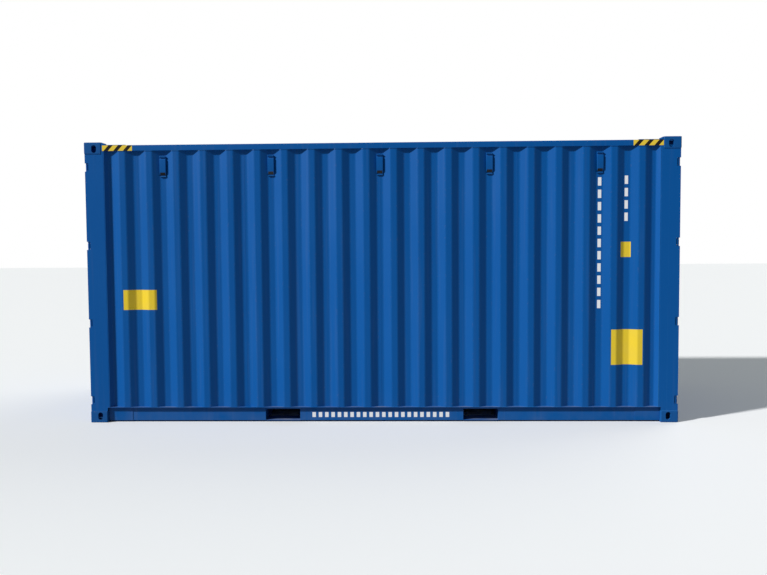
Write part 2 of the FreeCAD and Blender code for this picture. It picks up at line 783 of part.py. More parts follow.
def make_floor_boards():
    """Thick plywood sheets between the sills, on the joists."""
    body = new_body("floor")
    start = f"({from_end(SILL_BACK)})"
    length = f"((overall_length - 2 * {SILL_BACK} - (boards_along - 1) * board_gap) / boards_along)"
    width = f"((overall_width - 2 * {FLOOR_EDGE} - (boards_across - 1) * board_gap) / boards_across)"
    side = from_side(FLOOR_EDGE)
    corner = box_corners(start, f"{start} + {length}", side, f"{side} + {width}")
    board = pad(body, "XY_Plane", JOIST_TOP, "board_thickness", corner)
    repeat(body, [board], "X_Axis", "boards_along",
           f"(boards_along - 1) * ({length} + board_gap)",
           second=("Y_Axis", "boards_across", f"(boards_across - 1) * ({width} + board_gap)"))
    node(body, "floor_boards")


def make_crossmembers():
    """Channel joists between the bottom rails, in the bays beside and between the pockets."""
    half = f"(overall_width / 2 - {WEB_INNER})"
    pocket_outer = "(pocket_from_middle + pocket_width / 2 + pocket_wall)"
    pocket_inner = "(pocket_from_middle - pocket_width / 2 - pocket_wall)"
    left = from_end(SILL_BACK)
    bays = (("left", left, f"-{pocket_outer}"),
            ("middle", f"-{pocket_inner}", pocket_inner),
            ("right", pocket_outer, f"-{left}"))
    wall = "joist_wall"
    joists = []
    for name, low_x, high_x in bays:
        body = new_body(f"{name}_joists")
        gap = f"(({high_x} - ({low_x})) / (joists_per_bay + 1))"
        web = f"({low_x} + {gap} - joist_top_flange / 2)"
        foot = f"{JOIST_TOP} - joist_height"
        section = [
            (web, foot), (f"{web} + joist_bottom_flange", foot),
            (f"{web} + joist_bottom_flange", f"{foot} + {wall}"),
            (f"{web} + {wall}", f"{foot} + {wall}"), (f"{web} + {wall}", f"{JOIST_TOP} - {wall}"),
            (f"{web} + joist_top_flange", f"{JOIST_TOP} - {wall}"),
            (f"{web} + joist_top_flange", JOIST_TOP), (web, JOIST_TOP),
        ]
        joist = pad(body, "XZ_Plane", f"-{half}", f"2 * {half}", section)
        repeat(body, [joist], "X_Axis", "joists_per_bay", f"(joists_per_bay - 1) * {gap}")
        joists.append(body)
    node_of("crossmembers", joists)


def make_fork_pockets():
    """Two steel tunnels right across the base: upright sides, a top, and a strap at each end."""
    half = f"(overall_width / 2 - {WEB_INNER})"
    low = "ground_clearance"
    sides = new_body("fork_pocket_side")
    left_side = box_corners(f"{POCKET_LEFT} - pocket_wall", POCKET_LEFT, low, JOIST_TOP)
    right_side = box_corners(POCKET_RIGHT, f"{POCKET_RIGHT} + pocket_wall", low, JOIST_TOP)
    pair = pad(sides, "XZ_Plane", f"-{half}", f"2 * {half}", left_side, right_side)
    repeat(sides, [pair], "X_Axis", "2", "2 * pocket_from_middle")
    node(sides, "fork_pocket_sides")
    plates = new_body("fork_pocket_plate")
    ceiling = box_corners(POCKET_LEFT, POCKET_RIGHT, POCKET_CEILING,
                          f"{POCKET_CEILING} + pocket_wall")
    top = pad(plates, "XZ_Plane", f"-{half}", f"2 * {half}", ceiling)
    strap = box_corners(POCKET_LEFT, POCKET_RIGHT, low, f"{low} + pocket_strap")
    length = f"strap_reach - {WEB_OUTER}"
    front_strap = pad(plates, "XZ_Plane", from_side(WEB_OUTER), length, strap)
    back_strap = pad(plates, "XZ_Plane", f"{HALF_WIDTH} - strap_reach", length, strap)
    repeat(plates, [top, front_strap, back_strap], "X_Axis", "2", "2 * pocket_from_middle")
    node(plates, "fork_pocket_plates")


# ---------------------------------------------------------------- door leaves

DOORS = ("left_end_front_door", "right_end_front_door", "left_end_back_door",
         "right_end_back_door")


def door_nodes(body, name):
    """The same piece on each of the four leaves."""
    for door, piece in zip(DOORS, at_four_corners(body)):
        node(piece, f"{door}_{name}")


def panel_flat_level(fold):
    """Height of the middle of one of the leaf panel's outer flats, counted from the bottom."""
    return f"({PANEL_BOTTOM} + {PANEL_MARGIN} + {fold} * {PANEL_PITCH})"


def make_door_frames():
    """Two tube stiles and two channel rails, welded into one frame."""
    body = new_body("leaf_frame")
    wall = "frame_wall"
    front = from_end("leaf_face")
    back = from_end(LEAF_BACK)
    for low, high in ((LEAF_HINGE_EDGE, f"{LEAF_HINGE_EDGE} + stile_width"),
                      (f"{LEAF_FREE_EDGE} - stile_width", LEAF_FREE_EDGE)):
        outer = box_corners(front, back, from_side(low), from_side(high))
        inner = box_corners(f"{front} + {wall}", f"{back} - {wall}",
                            from_side(f"{low} + {wall}"), from_side(f"{high} - {wall}"))
        pad(body, "XY_Plane", LEAF_BOTTOM, f"{LEAF_TOP} - {LEAF_BOTTOM}", outer, inner)
    start = from_side(f"{LEAF_HINGE_EDGE} + stile_width")
    length = f"{LEAF_FREE_EDGE} - {LEAF_HINGE_EDGE} - 2 * stile_width"
    for edge, inward, depth in ((LEAF_TOP, "-1", "leaf_top_rail"),
                                (LEAF_BOTTOM, "1", "leaf_bottom_rail")):
        rim = f"{edge} + {inward} * {wall}"
        tip = f"{edge} + {inward} * {depth}"
        channel = [
            (front, edge), (back, edge), (back, tip), (f"{back} - {wall}", tip),
            (f"{back} - {wall}", rim), (f"{front} + {wall}", rim), (f"{front} + {wall}", tip),
            (front, tip),
        ]
        pad(body, "XZ_Plane", start, length, channel)
    door_nodes(body, "frame")


def make_door_panels():
    """Folded sheet inside the frame, its folds running across the leaf."""
    body = new_body("leaf_panel")
    front = from_end("leaf_face + frame_wall")
    deep = f"{front} + panel_depth"
    start = from_side(f"{LEAF_HINGE_EDGE} + stile_width")
    length = f"{LEAF_FREE_EDGE} - {LEAF_HINGE_EDGE} - 2 * stile_width"
    low = f"({PANEL_BOTTOM} + {PANEL_MARGIN})"
    half_flat = "panel_flat / 2"
    levels = [
        (front, low), (front, f"{low} + {half_flat}"),
        (deep, f"{low} + {half_flat} + panel_slope"),
        (deep, f"{low} + {half_flat} + panel_slope + panel_flat"),
        (front, f"{low} + {half_flat} + 2 * panel_slope + panel_flat"),
        (front, f"{low} + {PANEL_PITCH}"),
    ]
    behind = [(f"{across} + panel_sheet", up) for across, up in reversed(levels)]
    fold = pad(body, "XZ_Plane", start, length, levels + behind)
    repeat(body, [fold], "Z_Axis", PANEL_FOLDS, f"({PANEL_FOLDS} - 1) * {PANEL_PITCH}")
    for edge, limit in ((PANEL_BOTTOM, low), (f"{PANEL_TOP} - {PANEL_MARGIN}", PANEL_TOP)):
        strip = box_corners(front, f"{front} + panel_sheet", edge, limit)
        pad(body, "XZ_Plane", start, length, strip)
    door_nodes(body, "panel")


def make_door_gaskets():
    """A rubber seal round the leaf's edge, with a lip behind that meets the frame."""
    body = new_body("leaf_gasket")
    side = "(post_setback + post_plate + gasket_clearance)"
    middle = f"({LEAF_FREE_EDGE} + gasket_middle_lip)"
    low = "(sill_top + gasket_clearance)"
    high = "(overall_height - casting_height - gasket_clearance)"
    outer = box_corners(from_side(side), from_side(middle), low, high)
    edge = box_corners(from_side(LEAF_HINGE_EDGE), from_side(LEAF_FREE_EDGE), LEAF_BOTTOM, LEAF_TOP)
    pad(body, "YZ_Plane", from_end("leaf_face + gasket_front"),
        "leaf_thickness - gasket_front", outer, edge)
    lip = "gasket_lip_width"
    inside = box_corners(from_side(f"{LEAF_HINGE_EDGE} + {lip}"),
                         from_side(f"{LEAF_FREE_EDGE} - {lip}"),
                         f"{LEAF_BOTTOM} + {lip}", f"{LEAF_TOP} - {lip}")
    pad(body, "YZ_Plane", from_end(LEAF_BACK), "gasket_lip", outer, inside)
    door_nodes(body, "gasket")


def make_hinge_blades():
    """Blades welded to the leaf's face, each with an eye that turns on its pin."""
    body = new_body("hinge_blade")
    pin_x = from_end("pin_from_end")
    pin_y = from_side("pin_from_side")
    low = "lowest_hinge - blade_height / 2"
    neck_low = "pin_from_side + eye_radius - blade_neck"
    neck_high = "pin_from_side + eye_radius"
    arm = [
        (pin_x, from_side(neck_low)), (from_end("leaf_face"), from_side(neck_low)),
        (from_end("leaf_face"), from_side(f"{LEAF_HINGE_EDGE} + blade_length")),
        (from_end("leaf_face - blade_thickness"), from_side(f"{LEAF_HINGE_EDGE} + blade_length")),
        (from_end("leaf_face - blade_thickness"), from_side(neck_high)),
        (pin_x, from_side(neck_high)),
    ]
    strap = pad(body, "XY_Plane", low, "blade_height", arm)
    eye = pad_circle(body, low, "blade_height", pin_x, pin_y, "eye_radius")
    bore = cut_circle(body, "XY_Plane", low, "blade_height", pin_x, pin_y,
                      "pin_radius + pin_clearance")
    repeat(body, [strap, eye, bore], "Z_Axis", "hinge_count", HINGE_SPAN)
    door_nodes(body, "hinge_blades")


def make_locking_bars():
    """Two upright bars, each with a cam at both ends and a handle on its hub."""
    body = new_body("locking_bar")
    bar_x = from_end("bar_from_end")
    bar_y = from_side("first_bar")
    rod = pad_circle(body, BAR_BOTTOM, f"{BAR_TOP} - {BAR_BOTTOM}", bar_x, bar_y, "bar_radius")
    block = box_corners(from_end("cam_front"), from_end("cam_back"),
                        f"{bar_y} - cam_width / 2", f"{bar_y} + cam_width / 2")
    low_cam = pad(body, "XY_Plane", BAR_BOTTOM, "cam_height", block)
    high_cam = pad(body, "XY_Plane", f"{BAR_TOP} - cam_height", "cam_height", block)
    repeat(body, [rod, low_cam, high_cam], "Y_Axis", "2", "bar_spacing")
    second_y = f"({bar_y} + bar_spacing)"
    for fold, place, start in (("first_handle_fold", bar_y, bar_y),
                               ("second_handle_fold", second_y, f"{second_y} - handle_length")):
        level = panel_flat_level(fold)
        pad_circle(body, f"{level} - hub_height / 2", "hub_height", bar_x, place, "collar_radius")
        lever = box_corners(from_end("handle_front"), from_end("handle_front + handle_thickness"),
                            start, f"{start} + handle_length")
        pad(body, "XY_Plane", f"{level} - handle_height / 2", "handle_height", lever)
    door_nodes(body, "locking_bars")


def make_lock_brackets():
    """Guides that hold the bars to the leaf, and the catches that the handles rest in."""
    body = new_body("lock_bracket")
    bar_x = from_end("bar_from_end")
    bar_y = from_side("first_bar")
    panel_face = "leaf_face + frame_wall"
    guides = (
        (f"({LEAF_BOTTOM} + leaf_bottom_rail / 2)", "leaf_face"),
        (panel_flat_level("lower_guide_fold"), panel_face),
        (panel_flat_level("upper_guide_fold"), panel_face),
        (f"({LEAF_TOP} - leaf_top_rail / 2)", "leaf_face"),
    )
    for level, seat in guides:
        low = f"{level} - guide_height / 2"
        base = box_corners(from_end("leaf_face - guide_base"), from_end(seat),
                           f"{bar_y} - guide_width / 2", f"{bar_y} + guide_width / 2")
        plate = pad(body, "XY_Plane", low, "guide_height", base)
        collar = pad_circle(body, low, "guide_height", bar_x, bar_y, "collar_radius")
        bore = cut_circle(body, "XY_Plane", low, "guide_height", bar_x, bar_y,
                          "bar_radius + pin_clearance")
        repeat(body, [plate, collar, bore], "Y_Axis", "2", "bar_spacing")
    rest = "handle_front + handle_thickness + catch_gap"
    second_y = f"{bar_y} + bar_spacing"
    for fold, centre in (("first_handle_fold", f"({bar_y} + handle_length - catch_width)"),
                         ("second_handle_fold", f"({second_y} - handle_length + catch_width)")):
        level = panel_flat_level(fold)
        block = box_corners(f"{centre} - catch_width / 2", f"{centre} + catch_width / 2",
                            f"{level} - catch_height / 2", f"{level} + catch_height / 2")
        pad(body, "YZ_Plane", from_end(rest), f"{panel_face} - ({rest})", block)
    door_nodes(body, "lock_brackets")


make_corner_castings()
make_corner_posts()
make_post_channels()
make_hinge_lugs()
make_hinge_pins()
make_door_headers()
make_door_sills()
make_cam_keepers()
make_top_side_rails()
make_bottom_side_rails()
make_bottom_rail_webs()
make_side_walls()
make_ventilators()
make_roof_panel()
make_roof_corner_plates()
make_floor_boards()
make_crossmembers()
make_fork_pockets()
make_door_frames()
make_door_panels()
make_door_gaskets()
make_hinge_blades()
make_locking_bars()
make_lock_brackets()

doc.recompute()
for thing in doc.Objects:
    if {"Invalid", "Error"} & set(thing.State):
        raise RuntimeError(f"{thing.Name} failed to build: {thing.State}")
for thing in NODES:
    if thing.Shape.isNull() or not thing.Shape.isValid():
        raise RuntimeError(f"{thing.Label} has no valid shape")

os.makedirs("parts", exist_ok=True)
for thing in NODES:
    thing.Shape.exportStep(f"parts/{thing.Label}.step")
    print(thing.Label, len(thing.Shape.Solids), round(thing.Shape.Volume / 1e6, 2))
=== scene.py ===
import json
import math

import bmesh
import bpy
from mathutils import Matrix, Vector


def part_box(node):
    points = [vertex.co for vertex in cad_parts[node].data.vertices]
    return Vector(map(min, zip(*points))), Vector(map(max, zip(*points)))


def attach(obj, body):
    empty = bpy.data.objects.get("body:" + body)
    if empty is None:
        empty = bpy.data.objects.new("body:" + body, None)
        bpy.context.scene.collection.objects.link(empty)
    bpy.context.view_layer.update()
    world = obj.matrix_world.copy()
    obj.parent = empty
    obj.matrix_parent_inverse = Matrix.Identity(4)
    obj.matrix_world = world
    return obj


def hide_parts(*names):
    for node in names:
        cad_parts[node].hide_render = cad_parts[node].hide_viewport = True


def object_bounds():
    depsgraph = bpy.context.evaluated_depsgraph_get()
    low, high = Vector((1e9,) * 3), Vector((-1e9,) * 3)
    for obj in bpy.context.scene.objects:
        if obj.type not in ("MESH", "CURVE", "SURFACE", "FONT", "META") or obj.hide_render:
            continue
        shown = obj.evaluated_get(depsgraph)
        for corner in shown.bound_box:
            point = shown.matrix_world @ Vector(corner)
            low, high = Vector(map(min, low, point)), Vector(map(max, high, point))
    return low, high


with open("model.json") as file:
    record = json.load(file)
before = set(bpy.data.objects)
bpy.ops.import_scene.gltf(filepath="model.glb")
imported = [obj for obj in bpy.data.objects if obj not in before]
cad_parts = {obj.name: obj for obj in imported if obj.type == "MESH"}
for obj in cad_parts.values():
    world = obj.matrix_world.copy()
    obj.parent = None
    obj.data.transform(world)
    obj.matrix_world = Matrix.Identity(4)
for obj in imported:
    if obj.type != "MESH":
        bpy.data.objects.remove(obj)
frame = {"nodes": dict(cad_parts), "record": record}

cad_low, cad_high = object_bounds()

# ------------------------------------------------------------------ sizes, in metres
HALF_LENGTH = cad_high.x
HALF_WIDTH = cad_high.y
HEIGHT = cad_high.z
CASTING_LENGTH = 0.178
CASTING_HEIGHT = 0.118
POST_PLATE_END = 0.118
POST_END = 0.202
RAIL_TOP = 0.161
TOP_RAIL_LOW = 2.805
TOP_RAIL_HIGH = 2.865
FLOOR_TOP = 0.171
FOLD_PITCH = 0.278
WALL_FOLDS = 20
WALL_OUTER = 0.0055
WALL_INNER = 0.0415
INNER_HALF_FLAT = 0.0305
WALL_SLOPE = 0.077
OUTER_FLAT = 0.063
WALL_END_FLAT = 0.0095
FOLDS_PER_SHEET = 5
HINGE_LEVELS = (0.233, 1.036, 1.839, 2.642)
PIN_FROM_END = 0.022
PIN_FROM_SIDE = 0.025
LEAF_FACE = 0.053
LEAF_BACK = 0.103
LEAF_EDGES = (0.030, 1.209, 0.161, 2.765)
PANEL_EDGES = (0.130, 1.109, 0.311, 2.665)
PANEL_FACE = 0.0562
PANEL_RECESS = 0.0922
FIRST_PANEL_FLAT = 0.368
PANEL_PITCH = 0.28
PANEL_FOLDS = 8
PANEL_HALF_FLAT = 0.036
PANEL_SLOPE = 0.068
PANEL_INNER_FLAT = 0.072
BAR_LINES = (0.333, 0.900)
GUIDE_LEVELS = (0.236, 0.648, 1.768, 2.715)
# each handle's bar, the way it points along the leaf, and its level
HANDLES = ((BAR_LINES[0], 1, FIRST_PANEL_FLAT + 3 * PANEL_PITCH),
           (BAR_LINES[1], -1, FIRST_PANEL_FLAT + 2 * PANEL_PITCH))
VENT_PLACES = tuple(step * 4 * FOLD_PITCH for step in (-2, -1, 0, 1, 2))
VENT_HALF_LIP = 0.031
# Lean and size of the dark sheet that paints the shade inside each ventilator's opening.
VENT_SHADE_SHEET_LEAN = 34.3
VENT_SHADE_SHEET_SIZE = (0.054, 0.0012, 0.036)
ROOF_SEAMS = (-2.1945, -1.1495, -0.1045, 1.1495, 2.1945)
ROOF_SEAM_REACH = 1.150
SCREW_ROWS = (-1.13, -0.87, -0.60, -0.33, -0.06, 0.06, 0.33, 0.60, 0.87, 1.13)
PIN_HALF_LENGTH = 0.047
SEAL_STRIP_BREADTH = 0.026
SEAL_RIVET_PITCH = 0.152
DOORS = {
    "left_end_front_door": (-1, -1),
    "left_end_back_door": (-1, 1),
    "right_end_front_door": (1, -1),
    "right_end_back_door": (1, 1),
}
BODY_OF = {node: body for body, nodes in frame["record"]["behaviour"]["bodies"].items()
           for node in nodes}
SLOT_OF = {row["node"]: row["material_slot"] for row in frame["record"]["subparts"]}

# Where the bare plates and the plain marks are, as seen from outside, in metres:
# middle along the length, middle above the ground, width, height.
VINYL_PLATES = (
    (-2.484, 1.278, 0.345, 0.206),
    (2.502, 0.772, 0.317, 0.361),
    (2.489, 1.766, 0.104, 0.155),
)
# Middle along the length, lower end of the first block's step, number of blocks.
MARK_COLUMNS = ((2.224, 1.149, 11.0), (2.492, 2.034, 4.0))
MARK_PITCH = 0.1243
MARK_WIDTH = 0.034
MARK_HEIGHT = 0.084
WEB_ROW_START = -0.733
WEB_ROW_PITCH = 0.0658
WEB_ROW_LEVEL = 0.074
WEB_ROW_COUNT = 22.0
WEB_BLOCK_LENGTH = 0.036
WEB_BLOCK_HEIGHT = 0.052
# how wide the edges of plates, marks and bands fade
PLATE_SOFT = 0.0015
MARK_SOFT = 0.001
BAND_SOFT = 0.0008

# ------------------------------------------------------------------ the stage's place and light
KEY_DIRECTION = (-0.722, -0.417, 0.552)
KEY_STRENGTH = 3.6
KEY_ANGLE = 4
FILL_DIRECTION = (0.62, 0.62, 0.48)
FILL_STRENGTH = 0.8
FILL_ANGLE = 50
SKY_STRENGTH = 0.20
SKY_TINT = (0.80, 0.92, 1.0, 1)
FLOOR_SIZE = 120
FLOOR_SEEN = (0.97, 0.97, 0.96, 1)
FLOOR_BOUNCE = (0.36, 0.36, 0.37, 1)
CAMERA_PLACE = (0.2648, -9.2225, 1.8268)
CAMERA_YAW, CAMERA_PITCH, CAMERA_ROLL = 1.675, -3.095, 0.400
CAMERA_LENS = 36.841
SENSOR_WIDTH = 36

# ------------------------------------------------------------------ colours, linear
CONTAINER_BLUE = (0.0008, 0.0960, 0.355, 1)
CASTING_BLUE = (0.0035, 0.088, 0.305, 1)
FADED_BLUE = (0.0045, 0.122, 0.415, 1)
# A paler blue for weld beads and ventilator lips: a painted highlight where they catch the light.
WELD_HIGHLIGHT_BLUE = (0.020, 0.165, 0.44, 1)
DUST = (0.36, 0.33, 0.29, 1)
BARE_STEEL = (0.30, 0.29, 0.28, 1)
PRIMER_RUST = (0.13, 0.045, 0.02, 1)
HAZARD_YELLOW = (0.93, 0.66, 0.06, 1)
HAZARD_BLACK = (0.018, 0.014, 0.012, 1)
LABEL_YELLOW = (0.92, 0.66, 0.035, 1)
MARK_WHITE = (0.97, 0.97, 0.97, 1)
ZINC_DARK = (0.42, 0.43, 0.45, 1)
ZINC_LIGHT = (0.60, 0.61, 0.62, 1)
RUBBER = (0.018, 0.018, 0.019, 1)
PLY_LIGHT = (0.36, 0.20, 0.095, 1)
PLY_DARK = (0.16, 0.075, 0.032, 1)


# ------------------------------------------------------------------ shader building

class Nodes:
    """Short words for adding and joining the nodes of one tree."""

    def __init__(self, tree):
        self.tree = tree

    def add(self, kind, **values):
        node = self.tree.nodes.new(kind)
        for name, value in values.items():
            if name in node.inputs and not hasattr(node, name):
                node.inputs[name].default_value = value
            else:
                setattr(node, name, value)
        return node

    def feed(self, target, value):
        """Give a socket a number or colour, or join it to another socket."""
        if isinstance(value, bpy.types.NodeSocket):
            self.tree.links.new(value, target)
        else:
            target.default_value = value

    def math(self, operation, first, second=0.0, third=0.0, clamp=False):
        node = self.add("ShaderNodeMath", operation=operation, use_clamp=clamp)
        for socket, value in zip(node.inputs, (first, second, third)):
            self.feed(socket, value)
        return node.outputs[0]

    def mix(self, amount, first, second, blend="MIX"):
        node = self.add("ShaderNodeMix", data_type="RGBA", blend_type=blend)
        self.feed(node.inputs[0], amount)
        self.feed(node.inputs[6], first)
        self.feed(node.inputs[7], second)
        return node.outputs[2]

    def range(self, value, low, high, to_low=0.0, to_high=1.0, smooth=False):
        node = self.add("ShaderNodeMapRange",
                        interpolation_type="SMOOTHSTEP" if smooth else "LINEAR")
        for socket, number in zip(node.inputs, (value, low, high, to_low, to_high)):
            self.feed(socket, number)
        return node.outputs[0]

    def noise(self, coordinates, scale, detail=2.0, stretch=None):
        if stretch:
            mapping = self.add("ShaderNodeMapping")
            mapping.inputs["Scale"].default_value = stretch
            self.feed(mapping.inputs["Vector"], coordinates)
            coordinates = mapping.outputs[0]
        node = self.add("ShaderNodeTexNoise")
        self.feed(node.inputs["Vector"], coordinates)
        self.feed(node.inputs["Scale"], scale)
        node.inputs["Detail"].default_value = detail
        return node.outputs["Fac"]

    def place(self):
        return self.add("ShaderNodeTexCoord").outputs["Object"]

    def axes(self, vector):
        node = self.add("ShaderNodeSeparateXYZ")
        self.feed(node.inputs[0], vector)
        return node.outputs


def new_group(name, inputs, outputs):
    """A shader node group with named sockets. Each input is (name, kind, default)."""
    tree = bpy.data.node_groups.new(name, "ShaderNodeTree")
    for label, kind, default in inputs:
        socket = tree.interface.new_socket(label, in_out="INPUT", socket_type=kind)
        socket.default_value = default
    for label, kind in outputs:
        tree.interface.new_socket(label, in_out="OUTPUT", socket_type=kind)
    source = tree.nodes.new("NodeGroupInput")
    result = tree.nodes.new("NodeGroupOutput")
    return Nodes(tree), source.outputs, result.inputs


def make_paint_group():
    """Sprayed paint: tone drift, rain streaks, paler dust on upward faces (real dust, and also a
    painted highlight where it is raised), worn bends and orange peel.
    """
    n, given, result = new_group(
        "sprayed_paint",
        [("Paint", "NodeSocketColor", CONTAINER_BLUE), ("Faded", "NodeSocketColor", FADED_BLUE),
         ("Fading", "NodeSocketFloat", 0.16), ("Streaks", "NodeSocketFloat", 0.025),
         ("Dust", "NodeSocketFloat", 0.10), ("Wear", "NodeSocketFloat", 0.10),
         ("Gloss", "NodeSocketFloat", 0.40)],
        [("Colour", "NodeSocketColor"), ("Roughness", "NodeSocketFloat"),
         ("Height", "NodeSocketFloat"), ("Metal", "NodeSocketFloat")])
    spot = n.place()
    up = n.axes(spot)[2]
    facing = n.axes(n.add("ShaderNodeTexCoord").outputs["Normal"])
    drift = n.range(n.noise(spot, 0.9, 3.0), 0.35, 0.7, smooth=True)
    mottle = n.range(n.noise(spot, 14.0, 4.0), 0.3, 0.75)
    fading = n.math("MULTIPLY", n.math("MULTIPLY_ADD", drift, 0.7, n.math("MULTIPLY", mottle, 0.3)),
                    given["Fading"])
    colour = n.mix(fading, given["Paint"], given["Faded"])
    streak_field = n.noise(spot, 1.0, 5.0, stretch=(26.0, 26.0, 0.7))
    upright = n.range(facing[2], 0.35, 0.0)
    streaks = n.math("MULTIPLY", n.range(streak_field, 0.50, 0.74, smooth=True), upright)
    streaks = n.math("MULTIPLY", streaks, given["Streaks"])
    colour = n.mix(streaks, colour, DUST)
    # Upward faces turn paler. This is real dust, and where Dust is raised it also paints a highlight
    # on ledges lit from above.
    upward_dust_and_highlight = n.range(facing[2], 0.45, 0.95, smooth=True)
    low_down = n.range(up, 0.45, 0.0, 0.0, 0.18, smooth=True)
    patches = n.range(n.noise(spot, 5.5, 6.0), 0.32, 0.72)
    dust = n.math("MULTIPLY", n.math("MAXIMUM", upward_dust_and_highlight, low_down), patches)
    dust = n.math("MULTIPLY", dust, given["Dust"], clamp=True)
    colour = n.mix(dust, colour, DUST)
    bend = n.add("ShaderNodeAttribute", attribute_name="bend").outputs["Fac"]
    chips = n.range(n.noise(spot, 55.0, 6.0), 0.60, 0.66)
    rubbed = n.math("MULTIPLY", n.math("MULTIPLY", bend, chips), given["Wear"], clamp=True)
    colour = n.mix(rubbed, colour, n.mix(0.5, PRIMER_RUST, BARE_STEEL))
    pale_edge = n.math("MULTIPLY", bend, 0.12)
    colour = n.mix(pale_edge, colour, given["Faded"])
    rough = n.math("MULTIPLY_ADD", drift, 0.07, given["Gloss"])
    rough = n.math("ADD", rough, n.math("MULTIPLY", dust, 0.8))
    rough = n.math("ADD", rough, n.math("MULTIPLY", streaks, 0.6), clamp=True)
    peel = n.math("MULTIPLY", n.noise(spot, 420.0, 2.0), 0.25)
    ripple = n.math("MULTIPLY", n.noise(spot, 5.0, 2.0), 1.0)
    height = n.math("ADD", peel, ripple)
    height = n.math("SUBTRACT", height, n.math("MULTIPLY", rubbed, 0.8))
    n.feed(result["Colour"], colour)
    n.feed(result["Roughness"], rough)
    n.feed(result["Height"], height)
    n.feed(result["Metal"], n.math("MULTIPLY", rubbed, 0.4))
    return n.tree


def make_patch_group():
    """A flat rectangle of vinyl or paint on a side, placed by its middle as seen from outside."""
    n, given, result = new_group(
        "flat_patch",
        [("Middle X", "NodeSocketFloat", 0.0), ("Middle Z", "NodeSocketFloat", 0.0),
         ("Width", "NodeSocketFloat", 0.3), ("Height", "NodeSocketFloat", 0.2)],
        [("Mask", "NodeSocketFloat"), ("Tint", "NodeSocketFloat")])
    spot = n.place()
    across, deep, up = n.axes(spot)
    outside = n.math("MULTIPLY", n.math("SIGN", deep), -1.0)
    seen_x = n.math("MULTIPLY", across, outside)
    masks = []
    for value, middle, size in ((seen_x, given["Middle X"], given["Width"]),
                                (up, given["Middle Z"], given["Height"])):
        away = n.math("ABSOLUTE", n.math("SUBTRACT", value, middle))
        half = n.math("MULTIPLY", size, 0.5)
        masks.append(n.range(n.math("SUBTRACT", away, half), -PLATE_SOFT, PLATE_SOFT, 1.0, 0.0))
    outward = n.axes(n.add("ShaderNodeTexCoord").outputs["Normal"])[1]
    skin = n.math("GREATER_THAN", n.math("MULTIPLY", outward, n.math("SIGN", deep)), 0.2)
    mask = n.math("MULTIPLY", n.math("MULTIPLY", masks[0], masks[1]), skin)
    n.feed(result["Mask"], mask)
    n.feed(result["Tint"], n.range(n.noise(spot, 9.0, 4.0), 0.3, 0.8))
    return n.tree


def make_dash_group():
    """A row of equal plain blocks on a side, along its length or up its height."""
    n, given, result = new_group(
        "block_row",
        [("Upright", "NodeSocketFloat", 1.0), ("Start", "NodeSocketFloat", 0.0),
         ("Pitch", "NodeSocketFloat", 0.1), ("Count", "NodeSocketFloat", 4.0),
         ("Block", "NodeSocketFloat", 0.07), ("Middle", "NodeSocketFloat", 0.0),
         ("Breadth", "NodeSocketFloat", 0.03)],
        [("Mask", "NodeSocketFloat")])
    spot = n.place()
    across, deep, up = n.axes(spot)
    side = n.math("SIGN", deep)
    seen_x = n.math("MULTIPLY", across, n.math("MULTIPLY", side, -1.0))
    tilt = n.math("SUBTRACT", up, seen_x)
    along = n.math("MULTIPLY_ADD", tilt, given["Upright"], seen_x)
    beside = n.math("SUBTRACT", n.math("ADD", seen_x, up), along)
    steps = n.math("DIVIDE", n.math("SUBTRACT", along, given["Start"]), given["Pitch"])
    number = n.math("FLOOR", steps)
    within = n.math("MULTIPLY", n.math("GREATER_THAN", number, -0.5),
                    n.math("LESS_THAN", number, n.math("SUBTRACT", given["Count"], 0.5)))
    reach = n.math("MULTIPLY", n.math("ABSOLUTE", n.math("SUBTRACT", n.math("FRACT", steps), 0.5)),
                   given["Pitch"])
    length_mask = n.range(n.math("SUBTRACT", reach, n.math("MULTIPLY", given["Block"], 0.5)),
                          -MARK_SOFT, MARK_SOFT, 1.0, 0.0)
    away = n.math("ABSOLUTE", n.math("SUBTRACT", beside, given["Middle"]))
    width_mask = n.range(n.math("SUBTRACT", away, n.math("MULTIPLY", given["Breadth"], 0.5)),
                         -MARK_SOFT, MARK_SOFT, 1.0, 0.0)
    outward = n.axes(n.add("ShaderNodeTexCoord").outputs["Normal"])[1]
    skin = n.math("GREATER_THAN", n.math("MULTIPLY", outward, side), 0.2)
    mask = n.math("MULTIPLY", n.math("MULTIPLY", length_mask, width_mask),
                  n.math("MULTIPLY", within, skin))
    n.feed(result["Mask"], mask)
    return n.tree


